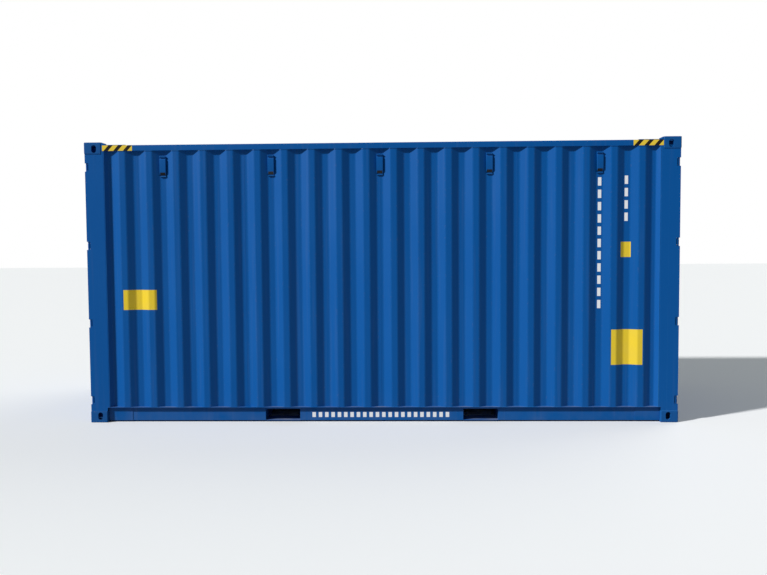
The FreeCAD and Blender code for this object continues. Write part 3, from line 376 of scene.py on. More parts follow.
def make_hazard_group():
    """Slanted bands at both ends of a rail: one mask for the band's ground, one for its bars."""
    n, given, result = new_group(
        "hazard_bands",
        [("Start", "NodeSocketFloat", 2.541), ("End", "NodeSocketFloat", 2.85),
         ("Pitch", "NodeSocketFloat", 0.100), ("Lean", "NodeSocketFloat", 0.90),
         ("Shift", "NodeSocketFloat", 0.0095),
         ("Bar", "NodeSocketFloat", 0.46), ("Left Lead", "NodeSocketFloat", 0.012),
         ("Right Lead", "NodeSocketFloat", 0.004)],
        [("Ground", "NodeSocketFloat"), ("Bars", "NodeSocketFloat")])
    spot = n.place()
    across, deep, up = n.axes(spot)
    outside = n.math("MULTIPLY", n.math("SIGN", deep), -1.0)
    seen_x = n.math("SUBTRACT", n.math("MULTIPLY", across, outside), given["Shift"])
    away = n.math("ABSOLUTE", seen_x)
    before = n.math("SUBTRACT", given["Start"], BAND_SOFT)
    beyond = n.math("ADD", given["End"], BAND_SOFT)
    inside = n.math("MULTIPLY", n.range(away, before, given["Start"]),
                    n.range(away, given["End"], beyond, 1.0, 0.0))
    outward = n.axes(n.add("ShaderNodeTexCoord").outputs["Normal"])[1]
    skin = n.math("GREATER_THAN", n.math("MULTIPLY", outward, n.math("SIGN", deep)), 0.7)
    ground = n.math("MULTIPLY", inside, skin)
    height = n.math("SUBTRACT", up, TOP_RAIL_LOW)
    on_right = n.math("GREATER_THAN", seen_x, 0.0)
    left_edge = n.math("ADD", n.math("MULTIPLY", given["End"], -1.0), given["Left Lead"])
    right_edge = n.math("ADD", given["Start"], given["Right Lead"])
    jump = n.math("SUBTRACT", right_edge, left_edge)
    edge = n.math("MULTIPLY_ADD", jump, on_right, left_edge)
    leaning = n.math("SUBTRACT", seen_x, n.math("MULTIPLY", height, given["Lean"]))
    steps = n.math("DIVIDE", n.math("SUBTRACT", leaning, edge), given["Pitch"])
    phase = n.math("FRACT", steps)
    within = n.math("MULTIPLY", n.math("GREATER_THAN", steps, 0.0),
                    n.math("LESS_THAN", steps, 2.99))
    bars = n.math("MULTIPLY", n.range(n.math("SUBTRACT", phase, given["Bar"]),
                                      -0.01, 0.01, 1.0, 0.0), n.math("MULTIPLY", within, ground))
    n.feed(result["Ground"], ground)
    n.feed(result["Bars"], bars)
    return n.tree


def make_wood_group():
    """Rotary-cut plywood face: long grain, pores, scuffs and worn seal."""
    n, given, result = new_group(
        "plywood_face",
        [("Light", "NodeSocketColor", PLY_LIGHT), ("Dark", "NodeSocketColor", PLY_DARK),
         ("Scuffs", "NodeSocketFloat", 0.3)],
        [("Colour", "NodeSocketColor"), ("Roughness", "NodeSocketFloat"),
         ("Height", "NodeSocketFloat")])
    spot = n.place()
    bands = n.noise(spot, 1.0, 6.0, stretch=(0.8, 9.0, 9.0))
    pores = n.noise(spot, 1.0, 3.0, stretch=(18.0, 420.0, 420.0))
    grain = n.range(bands, 0.3, 0.72)
    colour = n.mix(grain, given["Light"], given["Dark"])
    colour = n.mix(n.math("MULTIPLY", n.range(pores, 0.52, 0.75), 0.45), colour, given["Dark"])
    scuff = n.range(n.noise(spot, 1.0, 7.0, stretch=(1.3, 7.0, 1.0)), 0.56, 0.72)
    scuff = n.math("MULTIPLY", scuff, given["Scuffs"])
    colour = n.mix(scuff, colour, DUST)
    n.feed(result["Colour"], colour)
    n.feed(result["Roughness"], n.math("MULTIPLY_ADD", scuff, 0.6, 0.52))
    n.feed(result["Height"], n.math("MULTIPLY_ADD", pores, 0.5, grain))
    return n.tree


PAINT_GROUP = make_paint_group()
PATCH_GROUP = make_patch_group()
DASH_GROUP = make_dash_group()
HAZARD_GROUP = make_hazard_group()
WOOD_GROUP = make_wood_group()


def new_material(name):
    material = bpy.data.materials.new(name)
    material.use_nodes = True
    n = Nodes(material.node_tree)
    shader = n.tree.nodes["Principled BSDF"]
    return material, n, shader


def place_group(n, tree, **values):
    """Put a node group in a material with its own values."""
    node = n.add("ShaderNodeGroup", node_tree=tree)
    for label, value in values.items():
        n.feed(node.inputs[label.replace("_", " ")], value)
    return node.outputs


def add_bump(n, shader, height, strength, distance):
    bump = n.add("ShaderNodeBump")
    bump.inputs["Strength"].default_value = strength
    bump.inputs["Distance"].default_value = distance
    n.feed(bump.inputs["Height"], height)
    n.feed(shader.inputs["Normal"], bump.outputs[0])


def set_paint_shader(n, shader, outputs, colour=None, ripple=0.0022):
    n.feed(shader.inputs["Base Color"], colour or outputs["Colour"])
    n.feed(shader.inputs["Roughness"], outputs["Roughness"])
    n.feed(shader.inputs["Metallic"], outputs["Metal"])
    shader.inputs["Specular IOR Level"].default_value = 0.18
    add_bump(n, shader, outputs["Height"], 0.35, ripple)


def paint_steel(name, **values):
    """Sprayed paint on a rolled or folded section."""
    material, n, shader = new_material(name)
    set_paint_shader(n, shader, place_group(n, PAINT_GROUP, **values))
    return material


def paint_side_sheet():
    """The side walls: sprayed paint with bare vinyl plates and plain white marks."""
    material, n, shader = new_material("side_sheet_paint")
    paint = place_group(n, PAINT_GROUP)
    colour = paint["Colour"]
    for middle_x, middle_z, width, height in VINYL_PLATES:
        patch = place_group(n, PATCH_GROUP, Middle_X=middle_x, Middle_Z=middle_z,
                            Width=width, Height=height)
        vinyl = n.mix(n.math("MULTIPLY", patch["Tint"], 0.10), LABEL_YELLOW, DUST)
        colour = n.mix(patch["Mask"], colour, vinyl)
    for middle_x, low_z, count in MARK_COLUMNS:
        row = place_group(n, DASH_GROUP, Start=low_z, Pitch=MARK_PITCH, Count=count,
                          Block=MARK_HEIGHT, Middle=middle_x, Breadth=MARK_WIDTH)
        colour = n.mix(row["Mask"], colour, MARK_WHITE)
    set_paint_shader(n, shader, paint, colour)
    return material


def paint_top_rail():
    material, n, shader = new_material("top_rail_paint")
    paint = place_group(n, PAINT_GROUP, Faded=FADED_BLUE, Fading=0.25)
    hazard = place_group(n, HAZARD_GROUP)
    colour = n.mix(hazard["Ground"], paint["Colour"], HAZARD_YELLOW)
    colour = n.mix(hazard["Bars"], colour, HAZARD_BLACK)
    set_paint_shader(n, shader, paint, colour)
    return material


def finish_zinc():
    material, n, shader = new_material("zinc_coat")
    spot = n.place()
    spangle = n.add("ShaderNodeTexVoronoi")
    n.feed(spangle.inputs["Vector"], spot)
    spangle.inputs["Scale"].default_value = 90.0
    flake = n.axes(spangle.outputs["Color"])[0]
    colour = n.mix(flake, ZINC_DARK, ZINC_LIGHT)
    grime = n.range(n.noise(spot, 18.0, 5.0), 0.55, 0.75)
    colour = n.mix(n.math("MULTIPLY", grime, 0.4), colour, PRIMER_RUST)
    n.feed(shader.inputs["Base Color"], colour)
    n.feed(shader.inputs["Roughness"], n.range(flake, 0.0, 1.0, 0.36, 0.55))
    n.feed(shader.inputs["Metallic"], n.range(grime, 0.0, 1.0, 0.9, 0.4))
    add_bump(n, shader, n.noise(spot, 160.0, 3.0), 0.2, 0.001)
    return material


def finish_rubber():
    material, n, shader = new_material("seal_rubber")
    spot = n.place()
    dusty = n.range(n.noise(spot, 12.0, 6.0), 0.45, 0.8)
    n.feed(shader.inputs["Base Color"], n.mix(n.math("MULTIPLY", dusty, 0.25), RUBBER, DUST))
    n.feed(shader.inputs["Roughness"], n.range(dusty, 0.0, 1.0, 0.48, 0.8))
    shader.inputs["Specular IOR Level"].default_value = 0.35
    add_bump(n, shader, n.noise(spot, 260.0, 3.0), 0.25, 0.0008)
    return material


def finish_plywood():
    material, n, shader = new_material("floor_plywood")
    wood = place_group(n, WOOD_GROUP)
    n.feed(shader.inputs["Base Color"], wood["Colour"])
    n.feed(shader.inputs["Roughness"], wood["Roughness"])
    shader.inputs["Specular IOR Level"].default_value = 0.3
    add_bump(n, shader, wood["Height"], 0.3, 0.0012)
    return material


def paint_bottom_web():
    """The web under the wall: paint with one row of plain white blocks between the pockets."""
    material, n, shader = new_material("bottom_web_paint")
    paint = place_group(n, PAINT_GROUP, Dust=0.36, Streaks=0.04, Fading=0.5)
    row = place_group(n, DASH_GROUP, Upright=0.0, Start=WEB_ROW_START, Pitch=WEB_ROW_PITCH,
                      Count=WEB_ROW_COUNT, Block=WEB_BLOCK_LENGTH, Middle=WEB_ROW_LEVEL,
                      Breadth=WEB_BLOCK_HEIGHT)
    set_paint_shader(n, shader, paint, n.mix(row["Mask"], paint["Colour"], MARK_WHITE))
    return material


SHEET_PAINT = paint_side_sheet()
RAIL_PAINT = paint_top_rail()
STEEL_PAINT = paint_steel("section_paint")
# Dust is raised here so the bottom rail's upward ledge looks paler. This is real dust and also a
# painted highlight.
BASE_PAINT = paint_steel("base_paint_dust_and_highlight", Dust=0.55, Streaks=0.04, Fading=0.45)
WEB_PAINT = paint_bottom_web()
ROOF_PAINT = paint_steel("roof_paint", Dust=0.16, Fading=0.35)
CASTING_PAINT = paint_steel("casting_paint", Paint=CASTING_BLUE, Wear=0.5, Gloss=0.46,
                            Fading=0.35)
DOOR_PAINT = paint_steel("door_paint", Dust=0.12)
GEAR_PAINT = paint_steel("lock_gear_paint", Wear=0.5, Fading=0.35, Gloss=0.36)
# Weld beads and ventilator lips are painted paler, as a painted highlight on these small ridges.
WELD_HIGHLIGHT_PAINT = paint_steel("weld_highlight_paint", Faded=WELD_HIGHLIGHT_BLUE, Fading=0.9, Gloss=0.34)
ZINC_COAT = finish_zinc()
SEAL_RUBBER = finish_rubber()
PLYWOOD = finish_plywood()


# ------------------------------------------------------------------ modelling helpers

def deselect():
    for thing in bpy.context.selected_objects:
        thing.select_set(False)


def make_active(thing):
    deselect()
    thing.hide_set(False)
    thing.select_set(True)
    bpy.context.view_layer.objects.active = thing


def wear_layer(mesh):
    """The face layer that tells the paint which faces are bends and edges."""
    return mesh.faces.layers.float.get("bend") or mesh.faces.layers.float.new("bend")


def face_width(face):
    return face.calc_area() / max(edge.calc_length() for edge in face.edges)


def select_edges(mesh, chosen):
    """Leave only the chosen edges of an edit mesh selected."""
    for part in (*mesh.verts, *mesh.edges, *mesh.faces):
        part.select_set(False)
    count = 0
    for edge in mesh.edges:
        if len(edge.link_faces) == 2 and chosen(edge):
            edge.select_set(True)
            count += 1
    return count


def round_edges(thing, chosen, radius, segments):
    """Bevel the chosen edges of the object in edit mode and mark the new faces as bends."""
    mesh = bmesh.from_edit_mesh(thing.data)
    mesh.normal_update()
    count = select_edges(mesh, chosen)
    bmesh.update_edit_mesh(thing.data)
    if not count:
        return
    bpy.ops.mesh.bevel(offset=radius, segments=segments, affect="EDGES", clamp_overlap=False)
    mesh = bmesh.from_edit_mesh(thing.data)
    layer = wear_layer(mesh)
    for face in mesh.faces:
        if face.select:
            face[layer] = 1.0
    bmesh.update_edit_mesh(thing.data)


def bend_test(radius):
    """Long outward corners between two faces that are both wide enough for the radius."""
    def chosen(edge):
        return (edge.is_convex and edge.calc_face_angle(0) > math.radians(60)
                and edge.calc_length() > 0.08
                and all(face_width(face) > 3 * radius for face in edge.link_faces))
    return chosen


def rim_test(radius):
    """Remaining sharp outward edges of the plates."""
    def chosen(edge):
        return (edge.is_convex and edge.calc_face_angle(0) > math.radians(50)
                and edge.calc_length() > 3 * radius
                and all(face_width(face) > 2.6 * radius for face in edge.link_faces))
    return chosen


def fold_test(edge):
    """Shallow fold lines of pressed sheet, on both of its faces."""
    angle = edge.calc_face_angle(0)
    return math.radians(12) < angle < math.radians(58) and edge.calc_length() > 0.5


def finish_surface(thing, smooth_angle=38):
    make_active(thing)
    bpy.ops.object.shade_smooth_by_angle(angle=math.radians(smooth_angle))
    normals = thing.modifiers.new("even_normals", "WEIGHTED_NORMAL")
    normals.keep_sharp = True
    bpy.ops.object.modifier_apply(modifier=normals.name)


def dress(thing, material, body, slot):
    """Give a finished piece its material and its body; the slot is not used."""
    thing.data.materials.clear()
    thing.data.materials.append(material)
    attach(thing, body)


def refine_node(node, material, rounds):
    """A finished copy of a CAD node, with its edges and folds rounded. It stands for the node."""
    source = frame["nodes"][node]
    thing = bpy.data.objects.new(f"{node}_finish", source.data.copy())
    bpy.context.scene.collection.objects.link(thing)
    make_active(thing)
    bpy.ops.object.mode_set(mode="EDIT")
    bpy.ops.mesh.select_mode(type="EDGE")
    bpy.ops.mesh.select_all(action="SELECT")
    bpy.ops.mesh.remove_doubles(threshold=0.00002)
    bpy.ops.mesh.dissolve_limited(angle_limit=math.radians(0.4))
    for chosen, radius, segments in rounds:
        round_edges(thing, chosen, radius, segments)
    bpy.ops.object.mode_set(mode="OBJECT")
    finish_surface(thing)
    dress(thing, material, BODY_OF[node], SLOT_OF[node])
    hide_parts(node)


def outer_plate_test(low, high, radius):
    """Bend edges whose distance from the end of the box lies between two limits."""
    wide = bend_test(radius)

    def chosen(edge):
        return wide(edge) and all(low < HALF_LENGTH - abs(vert.co.x) < high
                                  for vert in edge.verts)
    return chosen


def casting_rim_test(edge):
    """The edges of a casting's top and bottom that lie along its outer faces."""
    if edge.calc_face_angle(0) < math.radians(60) or not edge.is_convex:
        return False
    ends = [vert.co for vert in edge.verts]
    on_cap = all(min(point.z, abs(point.z - CASTING_HEIGHT), HEIGHT - point.z,
                     abs(HEIGHT - CASTING_HEIGHT - point.z)) < 0.0005 for point in ends)
    at_side = (all(HALF_LENGTH - abs(point.x) < 0.0105 for point in ends)
               or all(HALF_WIDTH - abs(point.y) < 0.0105 for point in ends))
    return on_cap and at_side


def plate_rounds(bend, rim):
    return [(bend_test(bend), bend, 3), (rim_test(rim), rim, 2)]


def mirrored_piece(piece, name, across, deep):
    """A copy of a piece mirrored about the middle of the length or the width."""
    copy = bpy.data.objects.new(name, piece.data.copy())
    bpy.context.scene.collection.objects.link(copy)
    copy.data.transform(Matrix.Diagonal((across, deep, 1, 1)))
    if across * deep < 0:
        copy.data.flip_normals()
    return copy


# ------------------------------------------------------------------ the container's own pieces

def refine_body():
    for node in ("lower_corner_castings", "upper_corner_castings"):
        refine_node(node, CASTING_PAINT, [(casting_rim_test, 0.008, 4), (rim_test(0.003), 0.003, 2)])
    refine_node("corner_posts", STEEL_PAINT, [(outer_plate_test(0, 0.1, 0.004), 0.004, 3)])
    refine_node("post_channels", STEEL_PAINT, [(outer_plate_test(0.15, 0.3, 0.008), 0.008, 4)])
    refine_node("hinge_lugs", STEEL_PAINT, [(rim_test(0.0015), 0.0015, 2)])
    refine_node("hinge_pins", ZINC_COAT, [(rim_test(0.001), 0.001, 2)])
    refine_node("door_headers", STEEL_PAINT, plate_rounds(0.005, 0.001))
    refine_node("door_sills", BASE_PAINT, plate_rounds(0.005, 0.001))
    refine_node("cam_keepers", GEAR_PAINT, [(rim_test(0.0015), 0.0015, 2)])
    refine_node("top_side_rails", RAIL_PAINT, plate_rounds(0.005, 0.0008))
    refine_node("bottom_side_rails", BASE_PAINT, [(rim_test(0.0014), 0.0014, 3)])
    refine_node("bottom_rail_webs", WEB_PAINT, plate_rounds(0.005, 0.001))
    refine_node("front_side_wall", SHEET_PAINT, [(fold_test, 0.010, 4)])
    refine_node("back_side_wall", SHEET_PAINT, [(fold_test, 0.010, 4)])
    refine_node("ventilators", STEEL_PAINT, [(rim_test(0.0022), 0.0022, 2)])
    refine_node("roof_panel", ROOF_PAINT, [(fold_test, 0.006, 2)])
    refine_node("roof_corner_plates", STEEL_PAINT, [(rim_test(0.001), 0.001, 2)])
    refine_node("floor_boards", PLYWOOD, [(rim_test(0.0015), 0.0015, 1)])
    refine_node("crossmembers", BASE_PAINT, plate_rounds(0.005, 0.001))
    refine_node("fork_pocket_sides", BASE_PAINT, [(rim_test(0.001), 0.001, 2)])
    refine_node("fork_pocket_plates", BASE_PAINT, [(rim_test(0.001), 0.001, 2)])


def refine_doors():
    for door in DOORS:
        refine_node(f"{door}_frame", DOOR_PAINT, plate_rounds(0.006, 0.0008))
        refine_node(f"{door}_panel", DOOR_PAINT, [(fold_test, 0.010, 3)])
        refine_node(f"{door}_gasket", SEAL_RUBBER, [(rim_test(0.0006), 0.0006, 2)])
        refine_node(f"{door}_hinge_blades", GEAR_PAINT, [(rim_test(0.0018), 0.0018, 2)])
        refine_node(f"{door}_locking_bars", GEAR_PAINT, [(rim_test(0.002), 0.002, 2)])
        refine_node(f"{door}_lock_brackets", GEAR_PAINT, [(rim_test(0.0012), 0.0012, 2)])


# ------------------------------------------------------------------ welds, bolts and trim

def corner_spot(from_end, from_side, level):
    """A place near the left front corner, measured in from the end and the side."""
    return Vector((-HALF_LENGTH + from_end, -HALF_WIDTH + from_side, level))


def settle(name):
    """Name the new primitive and put its place, turn and scale into its mesh."""
    piece = bpy.context.active_object
    piece.name = name
    bpy.ops.object.transform_apply(location=True, rotation=True, scale=True)
    return piece


def join_pieces(name, pieces):
    deselect()
    for piece in pieces:
        piece.select_set(True)
    bpy.context.view_layer.objects.active = pieces[0]
    bpy.ops.object.join()
    pieces[0].name = name
    return pieces[0]


def weld_run(start, end, radius=0.004, pitch=0.012):
    """Overlapping scales in a row, as a weld is laid."""
    run = Vector(end) - Vector(start)
    count = max(2, round(run.length / pitch))
    step = run.length / count
    deselect()
    bpy.ops.mesh.primitive_cone_add(vertices=7, radius1=radius, radius2=radius * 0.74,
                                    depth=step * 1.25, location=(0, 0, step / 2))
    scale = settle("weld")
    row = scale.modifiers.new("row", "ARRAY")
    row.use_relative_offset = False
    row.use_constant_offset = True
    row.constant_offset_displace = (0, 0, step)
    row.count = count
    bpy.ops.object.modifier_apply(modifier=row.name)
    turn = run.to_track_quat("Z", "Y").to_matrix().to_4x4()
    scale.data.transform(Matrix.Translation(start) @ turn)
    return scale


def weld_path(points, radius=0.004):
    return [weld_run(a, b, radius) for a, b in zip(points, points[1:])]


def bevel_all(radius, segments):
    """Bevel every edge of the active piece."""
    bpy.ops.object.mode_set(mode="EDIT")
    bpy.ops.mesh.select_all(action="SELECT")
    bpy.ops.mesh.bevel(offset=radius, segments=segments, affect="EDGES")
    bpy.ops.object.mode_set(mode="OBJECT")


def soft_block(low, high, edge, name="block"):
    """A plate between two corners with its edges bevelled."""
    low, high = Vector(low), Vector(high)
    deselect()
    bpy.ops.mesh.primitive_cube_add(size=1, location=(low + high) / 2, scale=high - low)
    plate = settle(name)
    bevel_all(edge, 2)
    return plate


def bolt_head(radius, height, sides=6):
    """A head that stands up along +Z from the origin, with its top edge chamfered."""
    deselect()
    bpy.ops.mesh.primitive_cylinder_add(vertices=sides, radius=radius, depth=height,
                                        location=(0, 0, height / 2))
    head = settle("bolt_head")
    bpy.ops.object.mode_set(mode="EDIT")
    bpy.ops.mesh.select_mode(type="FACE")
    bpy.ops.mesh.select_all(action="DESELECT")
    mesh = bmesh.from_edit_mesh(head.data)
    for face in mesh.faces:
        face.select_set(face.normal.z > 0.9)
    bmesh.update_edit_mesh(head.data)
    bpy.ops.mesh.inset(thickness=radius * 0.22, depth=0)
    bpy.ops.mesh.inset(thickness=radius * 0.12, depth=height * 0.18)
    bpy.ops.object.mode_set(mode="OBJECT")
    return head


def dome(radius, height):
    """A low round rivet or weld cap that stands up along +Z from the origin."""
    deselect()
    bpy.ops.mesh.primitive_uv_sphere_add(segments=10, ring_count=6, radius=radius,
                                         scale=(1, 1, height / radius))
    cap = settle("cap")
    bpy.ops.object.mode_set(mode="EDIT")
    bpy.ops.mesh.select_all(action="SELECT")
    bpy.ops.mesh.bisect(plane_co=(0, 0, 0), plane_no=(0, 0, 1), clear_inner=True, use_fill=True)
    bpy.ops.object.mode_set(mode="OBJECT")
    return cap


def lay_out(name, piece, places, facing=(0, 0, 1)):
    """Copies of a piece at many places, turned to face one way and joined in one mesh."""
    turn = Vector(facing).to_track_quat("Z", "Y").to_matrix().to_4x4()
    copies = []
    for place in places:
        copy = bpy.data.objects.new(name, piece.data.copy())
        bpy.context.scene.collection.objects.link(copy)
        copy.data.transform(Matrix.Translation(place) @ turn)
        copies.append(copy)
    bpy.data.objects.remove(piece)
    return join_pieces(name, copies)


def at_four_corners(name, piece):
    """The left front piece and its mirror images at the other corners, as one piece."""
    others = [mirrored_piece(piece, name, across, deep)
              for across, deep in ((-1, 1), (1, -1), (-1, -1))]
    return join_pieces(name, [piece, *others])


def on_four_doors(name, piece, material, slot):
    """The left front leaf's piece, and its mirror image on each of the other leaves."""
    for door, (end, side) in DOORS.items():
        copy = mirrored_piece(piece, f"{door}_{name}", -end, -side)
        finish_surface(copy, 50)
        dress(copy, material, door, slot)
    bpy.data.objects.remove(piece)


def finish_on_body(piece, material, slot="blue_steel"):
    finish_surface(piece, 50)
    dress(piece, material, "container_body", slot)


def on_both_sides(name, piece, material, slot="blue_steel"):
    """The front side's piece and its mirror image on the back side."""
    piece.name = "front_" + name
    back = mirrored_piece(piece, "back_" + name, 1, -1)
    finish_on_body(piece, material, slot)
    finish_on_body(back, material, slot)


def wall_fold_line(level, proud):
    """Points along the outer face of the front wall's folds at one level."""
    outer, inner = WALL_OUTER - proud, WALL_INNER - proud
    start = -WALL_FOLDS * FOLD_PITCH / 2
    points = [(-HALF_LENGTH + POST_END, outer), (start - WALL_END_FLAT, inner)]
    for fold in range(WALL_FOLDS):
        inner_end = start + fold * FOLD_PITCH + INNER_HALF_FLAT
        outer_start = inner_end + WALL_SLOPE
        outer_end = outer_start + OUTER_FLAT
        points += [(inner_end, inner), (outer_start, outer), (outer_end, outer),
                   (outer_end + WALL_SLOPE, inner)]
    points += [(-start + WALL_END_FLAT, inner), (HALF_LENGTH - POST_END, outer)]
    return [(x, -HALF_WIDTH + inset, level) for x, inset in points]


def make_post_welds():
    """Welds between castings and posts, down the post's seam and along the wall's edge."""
    runs = []
    for level in (CASTING_HEIGHT + 0.0015, HEIGHT - CASTING_HEIGHT - 0.0015):
        runs.append(weld_run(corner_spot(0.010, 0.0046, level),
                             corner_spot(CASTING_LENGTH - 0.004, 0.0046, level), 0.0042))
    low, high = CASTING_HEIGHT, HEIGHT - CASTING_HEIGHT
    runs.append(weld_run(corner_spot(POST_PLATE_END, 0.0092, low),
                         corner_spot(POST_PLATE_END, 0.0092, high), 0.0050))
    runs.append(weld_run(corner_spot(POST_END + 0.001, 0.0080, RAIL_TOP),
                         corner_spot(POST_END + 0.001, 0.0080, TOP_RAIL_LOW), 0.0040))
    runs.append(weld_run(corner_spot(CASTING_LENGTH + 0.001, 0.0440, 0.016),
                         corner_spot(CASTING_LENGTH + 0.001, 0.0440, 0.155), 0.0045))
    finish_on_body(at_four_corners("post_welds", join_pieces("post_welds", runs)), WELD_HIGHLIGHT_PAINT)


def make_wall_welds():
    """Welds that follow the wall's folds where it stands on the rail and meets the top rail."""
    runs = weld_path(wall_fold_line(RAIL_TOP + 0.001, 0.0012), 0.0032)
    runs += weld_path(wall_fold_line(TOP_RAIL_LOW - 0.001, 0.0012), 0.0030)
    on_both_sides("wall_welds", join_pieces("wall_welds", runs), WELD_HIGHLIGHT_PAINT)


def make_wall_seams():
    """Upright butt welds between the sheets that make up each side wall."""
    sunk, short = 0.0012, 0.004
    face = -HALF_WIDTH + WALL_INNER + sunk
    runs = []
    for seam in (-1, 0, 1):
        x = seam * FOLD_PITCH * FOLDS_PER_SHEET
        runs.append(weld_run((x, face, RAIL_TOP + short), (x, face, TOP_RAIL_LOW - short), 0.0026))
    on_both_sides("wall_seams", join_pieces("wall_seams", runs), SHEET_PAINT, "blue_sheet")


def make_rail_end_plates():
    """Doubling plates on the bottom rail's web beside each lower casting."""
    plate = soft_block(corner_spot(CASTING_LENGTH + 0.003, 0.0390, 0.0150),
                       corner_spot(0.430, 0.0430, 0.1545), 0.0012, "rail_end_plates")
    finish_on_body(at_four_corners("rail_end_plates", plate), BASE_PAINT)


def make_roof_welds():
    """Seams across the roof between its sheets, and the welds along its long edges."""
    seam_level, edge_level, short = TOP_RAIL_HIGH + 0.0015, TOP_RAIL_HIGH + 0.0008, 0.01
    runs = [weld_run((seam, -ROOF_SEAM_REACH, seam_level), (seam, ROOF_SEAM_REACH, seam_level),
                     0.0030) for seam in ROOF_SEAMS]
    roof_low, roof_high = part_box("roof_panel")
    for side in (roof_low.y, roof_high.y):
        runs.append(weld_run((roof_low.x + short, side, edge_level),
                             (roof_high.x - short, side, edge_level), 0.0032))
    finish_on_body(join_pieces("roof_welds", runs), ROOF_PAINT, "blue_sheet")


def make_vent_rivets():
    """Two rivets in the upper lip of every ventilator."""
    low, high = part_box("ventilators")
    places = [(x + offset, low.y + 0.0002, high.z - 0.006)
              for x in VENT_PLACES for offset in (-0.023, 0.023)]
    rivets = lay_out("vent_rivets", dome(0.0042, 0.0022), places, (0, -1, 0))
    on_both_sides("vent_rivets", rivets, STEEL_PAINT)


def make_vent_trim():
    """A folded lip over each ventilator and a bar at its foot, both in paler paint as a painted
    highlight, and between them a dark sheet that paints the shade inside the vent's opening.
    """
    low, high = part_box("ventilators")
    lips, shade_sheets = [], []
    for x in VENT_PLACES:
        left, right = x - VENT_HALF_LIP, x + VENT_HALF_LIP
        lips.append(soft_block((left, low.y - 0.0025, high.z - 0.0030),
                               (right, low.y + 0.0020, high.z + 0.0004), 0.0010))
        lips.append(soft_block((left, low.y + 0.0108, low.z + 0.0010),
                               (right, low.y + 0.0150, low.z + 0.0062), 0.0010))
        # A dark rubber sheet across the vent's lower opening: painted shade where the opening lies
        # in the hood's shadow.
        deselect()
        bpy.ops.mesh.primitive_cube_add(
            size=1, location=(x, low.y + 0.0117, low.z + 0.0288),
            rotation=(math.radians(VENT_SHADE_SHEET_LEAN), 0, 0), scale=VENT_SHADE_SHEET_SIZE)
        shade_sheet = settle("vent_shade_sheet")
        bevel_all(0.0003, 1)
        shade_sheets.append(shade_sheet)
    # The lips take the paler weld paint, as a painted highlight along their edges.
    on_both_sides("vent_lips", join_pieces("vent_lips", lips), WELD_HIGHLIGHT_PAINT)
    on_both_sides("vent_shade_sheets", join_pieces("vent_shade_sheets", shade_sheets), SEAL_RUBBER,
                  SLOT_OF["left_end_front_door_gasket"])


def make_pin_caps():
    """Domed caps on both ends of every hinge pin."""
    upper = [corner_spot(PIN_FROM_END, PIN_FROM_SIDE, level + PIN_HALF_LENGTH)
             for level in HINGE_LEVELS]
    lower = [corner_spot(PIN_FROM_END, PIN_FROM_SIDE, level - PIN_HALF_LENGTH)
             for level in HINGE_LEVELS]
    caps = join_pieces("pin_caps", [lay_out("pin_caps", dome(0.0085, 0.0035), upper),
                                    lay_out("pin_caps", dome(0.0085, 0.0035), lower, (0, 0, -1))])
    finish_on_body(at_four_corners("pin_caps", caps), ZINC_COAT, "zinc_steel")


def make_floor_screws():
    """Low screw heads that hold the boards to each joist."""
    mesh = frame["nodes"]["crossmembers"].data
    columns = sorted({round(vert.co.x, 4) for vert in mesh.vertices if vert.co.z > 0.14})
    flanges = [left for left, right in zip(columns, columns[1:]) if 0.03 < right - left < 0.05]
    places = [(x + 0.02, y, FLOOR_TOP - 0.0004) for x in flanges for y in SCREW_ROWS]
    screws = lay_out("floor_screws", bolt_head(0.0075, 0.0016, 8), places)
    finish_on_body(screws, ZINC_COAT, "zinc_steel")


def panel_edge_line(from_side):
    """Points up one edge of the leaf's panel, following its folds."""
    face, recess = PANEL_FACE - 0.001, PANEL_RECESS - 0.001
    points = [(face, PANEL_EDGES[2])]
    for fold in range(PANEL_FOLDS):
        flat_end = FIRST_PANEL_FLAT + fold * PANEL_PITCH + PANEL_HALF_FLAT
        recess_start = flat_end + PANEL_SLOPE
        recess_end = recess_start + PANEL_INNER_FLAT
        points += [(face, flat_end), (recess, recess_start), (recess, recess_end),
                   (face, recess_end + PANEL_SLOPE)]
    points.append((face, PANEL_EDGES[3]))
    return [corner_spot(from_end, from_side, level) for from_end, level in points]


def make_leaf_welds():
    """Welds round the pressed panel and round each hinge blade."""
    left, right, low, high = PANEL_EDGES
    proud, panel_bead = 0.001, 0.0032
    runs = weld_path(panel_edge_line(left + proud), panel_bead)
    runs += weld_path(panel_edge_line(right - proud), panel_bead)
    for level in (low + proud, high - proud):
        runs.append(weld_run(corner_spot(PANEL_FACE - proud, left, level),
                             corner_spot(PANEL_FACE - proud, right, level), panel_bead))
    blade_face, blade_root, blade_tip = LEAF_FACE - 0.0008, 0.0400, 0.1508
    blade_bead = 0.0034
    for level in HINGE_LEVELS:
        for rise in (-0.0288, 0.0288):
            runs.append(weld_run(corner_spot(blade_face, blade_root, level + rise),
                                 corner_spot(blade_face, blade_tip, level + rise), blade_bead))
        runs.append(weld_run(corner_spot(blade_face, blade_tip, level - 0.028),
                             corner_spot(blade_face, blade_tip, level + 0.028), blade_bead))
    on_four_doors("welds", join_pieces("leaf_welds", runs), WELD_HIGHLIGHT_PAINT, "blue_steel")


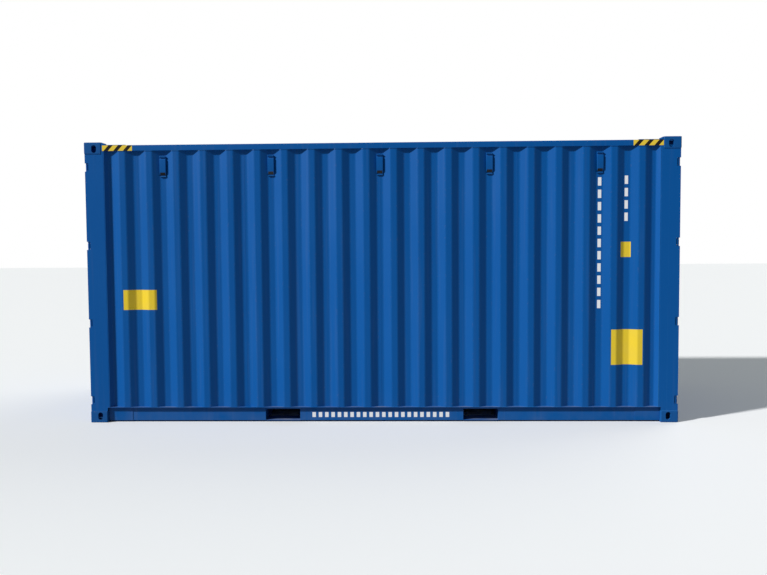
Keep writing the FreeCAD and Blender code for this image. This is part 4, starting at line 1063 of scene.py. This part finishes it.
def make_leaf_bolts():
    """Hexagon heads that hold the bar guides, and rivets along the handles."""
    places = [corner_spot(LEAF_FACE - 0.004, line + offset, level)
              for line in BAR_LINES for level in GUIDE_LEVELS for offset in (-0.037, 0.037)]
    bolts = lay_out("leaf_bolts", bolt_head(0.0085, 0.0055), places, (-1, 0, 0))
    places = [corner_spot(0.024, line + way * reach, level)
              for line, way, level in HANDLES for reach in (0.034, 0.064, 0.400)]
    rivets = lay_out("leaf_bolts", dome(0.0065, 0.0028), places, (-1, 0, 0))
    on_four_doors("bolts", join_pieces("leaf_bolts", [bolts, rivets]), GEAR_PAINT, "blue_steel")


def make_handle_eyes():
    """A ring on each handle, where a seal would pass through."""
    rings = []
    for line, way, level in HANDLES:
        deselect()
        bpy.ops.mesh.primitive_torus_add(
            major_radius=0.0085, minor_radius=0.0022, major_segments=16, minor_segments=8,
            location=corner_spot(0.0238, line + way * 0.300, level),
            rotation=(0, math.radians(90), 0))
        rings.append(settle("handle_ring"))
    on_four_doors("handle_rings", join_pieces("handle_rings", rings), GEAR_PAINT, "blue_steel")


def make_hub_collars():
    """Rounded collars above and below each handle hub."""
    collars = []
    for line, _, level in HANDLES:
        for rise in (-0.029, 0.029):
            deselect()
            bpy.ops.mesh.primitive_cylinder_add(
                vertices=24, radius=0.0192, depth=0.008,
                location=corner_spot(0.030, line, level + rise))
            collar = settle("hub_collar")
            bevel_all(0.0022, 3)
            collars.append(collar)
    on_four_doors("hub_collars", join_pieces("hub_collars", collars), GEAR_PAINT, "blue_steel")


def make_seal_strips():
    """Steel strips inside each leaf that clamp the seal, with a row of rivets."""
    left, right, low, high = (LEAF_EDGES[0] + 0.016, LEAF_EDGES[1] - 0.013,
                              LEAF_EDGES[2] + 0.016, LEAF_EDGES[3] - 0.016)
    front, back, breadth = LEAF_BACK - 0.0004, LEAF_BACK + 0.0014, SEAL_STRIP_BREADTH
    bars = (((left, low), (left + breadth, high)), ((right - breadth, low), (right, high)),
            ((left + breadth, low), (right - breadth, low + breadth)),
            ((left + breadth, high - breadth), (right - breadth, high)))
    strips = [soft_block(corner_spot(front, a[0], a[1]), corner_spot(back, b[0], b[1]), 0.0005)
              for a, b in bars]
    inner = breadth / 2
    levels = [low + 0.06 + step * SEAL_RIVET_PITCH for step in range(17)]
    sides = [left + 0.09 + step * SEAL_RIVET_PITCH for step in range(7)]
    places = [corner_spot(back - 0.0002, place, level)
              for place in (left + inner, right - inner) for level in levels]
    places += [corner_spot(back - 0.0002, place, level)
               for place in sides for level in (low + inner, high - inner)]
    rivets = lay_out("seal_rivets", dome(0.0040, 0.0014), places, (1, 0, 0))
    on_four_doors("seal_strips", join_pieces("seal_strips", [*strips, rivets]), ZINC_COAT,
                  "zinc_steel")


def make_extra_pieces():
    make_post_welds()
    make_wall_welds()
    make_wall_seams()
    make_rail_end_plates()
    make_roof_welds()
    make_vent_rivets()
    make_vent_trim()
    make_pin_caps()
    make_floor_screws()
    make_leaf_welds()
    make_leaf_bolts()
    make_handle_eyes()
    make_hub_collars()
    make_seal_strips()


# ------------------------------------------------------------------ stage

def make_floor():
    bpy.ops.mesh.primitive_plane_add(size=FLOOR_SIZE, location=(0, 0, 0))
    floor = bpy.context.active_object
    floor.name = "studio_floor"
    material, n, shader = new_material("studio_floor")
    seen = n.add("ShaderNodeLightPath").outputs["Is Camera Ray"]
    n.feed(shader.inputs["Base Color"], n.mix(seen, FLOOR_BOUNCE, FLOOR_SEEN))
    shader.inputs["Roughness"].default_value = 0.9
    shader.inputs["Specular IOR Level"].default_value = 0.1
    floor.data.materials.append(material)


def add_sun(name, direction, strength, angle):
    """A sun that shines from one direction. A wide angle makes its shadows soft."""
    bpy.ops.object.light_add(type="SUN")
    sun = bpy.context.active_object
    sun.name = name
    sun.data.energy = strength
    sun.data.angle = math.radians(angle)
    sun.rotation_mode = "QUATERNION"
    sun.rotation_quaternion = Vector(direction).to_track_quat("Z", "Y")


def make_lights():
    """A low key from the front left, a wide weak fill from behind and an even pale sky."""
    add_sun("key_light", KEY_DIRECTION, KEY_STRENGTH, KEY_ANGLE)
    add_sun("fill_light", FILL_DIRECTION, FILL_STRENGTH, FILL_ANGLE)
    world = bpy.data.worlds.new("studio")
    bpy.context.scene.world = world
    world.use_nodes = True
    n = Nodes(world.node_tree)
    sky = world.node_tree.nodes["Background"]
    seen = n.add("ShaderNodeLightPath").outputs["Is Camera Ray"]
    n.feed(sky.inputs["Color"], n.mix(seen, SKY_TINT, (1, 1, 1, 1)))
    n.feed(sky.inputs["Strength"], n.range(seen, 0.0, 1.0, SKY_STRENGTH, 1.0))


def make_camera():
    """Eye height, square on to the front side, a little over nine metres from the middle."""
    place = Matrix.Translation(CAMERA_PLACE)
    turn = (Matrix.Rotation(math.radians(CAMERA_YAW), 4, "Z")
            @ Matrix.Rotation(math.radians(CAMERA_PITCH), 4, "X")
            @ Matrix.Rotation(math.radians(CAMERA_ROLL), 4, "Y")
            @ Matrix.Rotation(math.radians(90), 4, "X"))
    bpy.ops.object.camera_add()
    camera = bpy.context.active_object
    camera.name = "studio_camera"
    camera.matrix_world = place @ turn
    camera.data.sensor_width = SENSOR_WIDTH
    camera.data.lens = CAMERA_LENS
    bpy.context.scene.camera = camera
    bpy.context.scene.view_settings.view_transform = "Standard"


refine_body()
refine_doors()
make_extra_pieces()
make_floor()
make_lights()
make_camera()
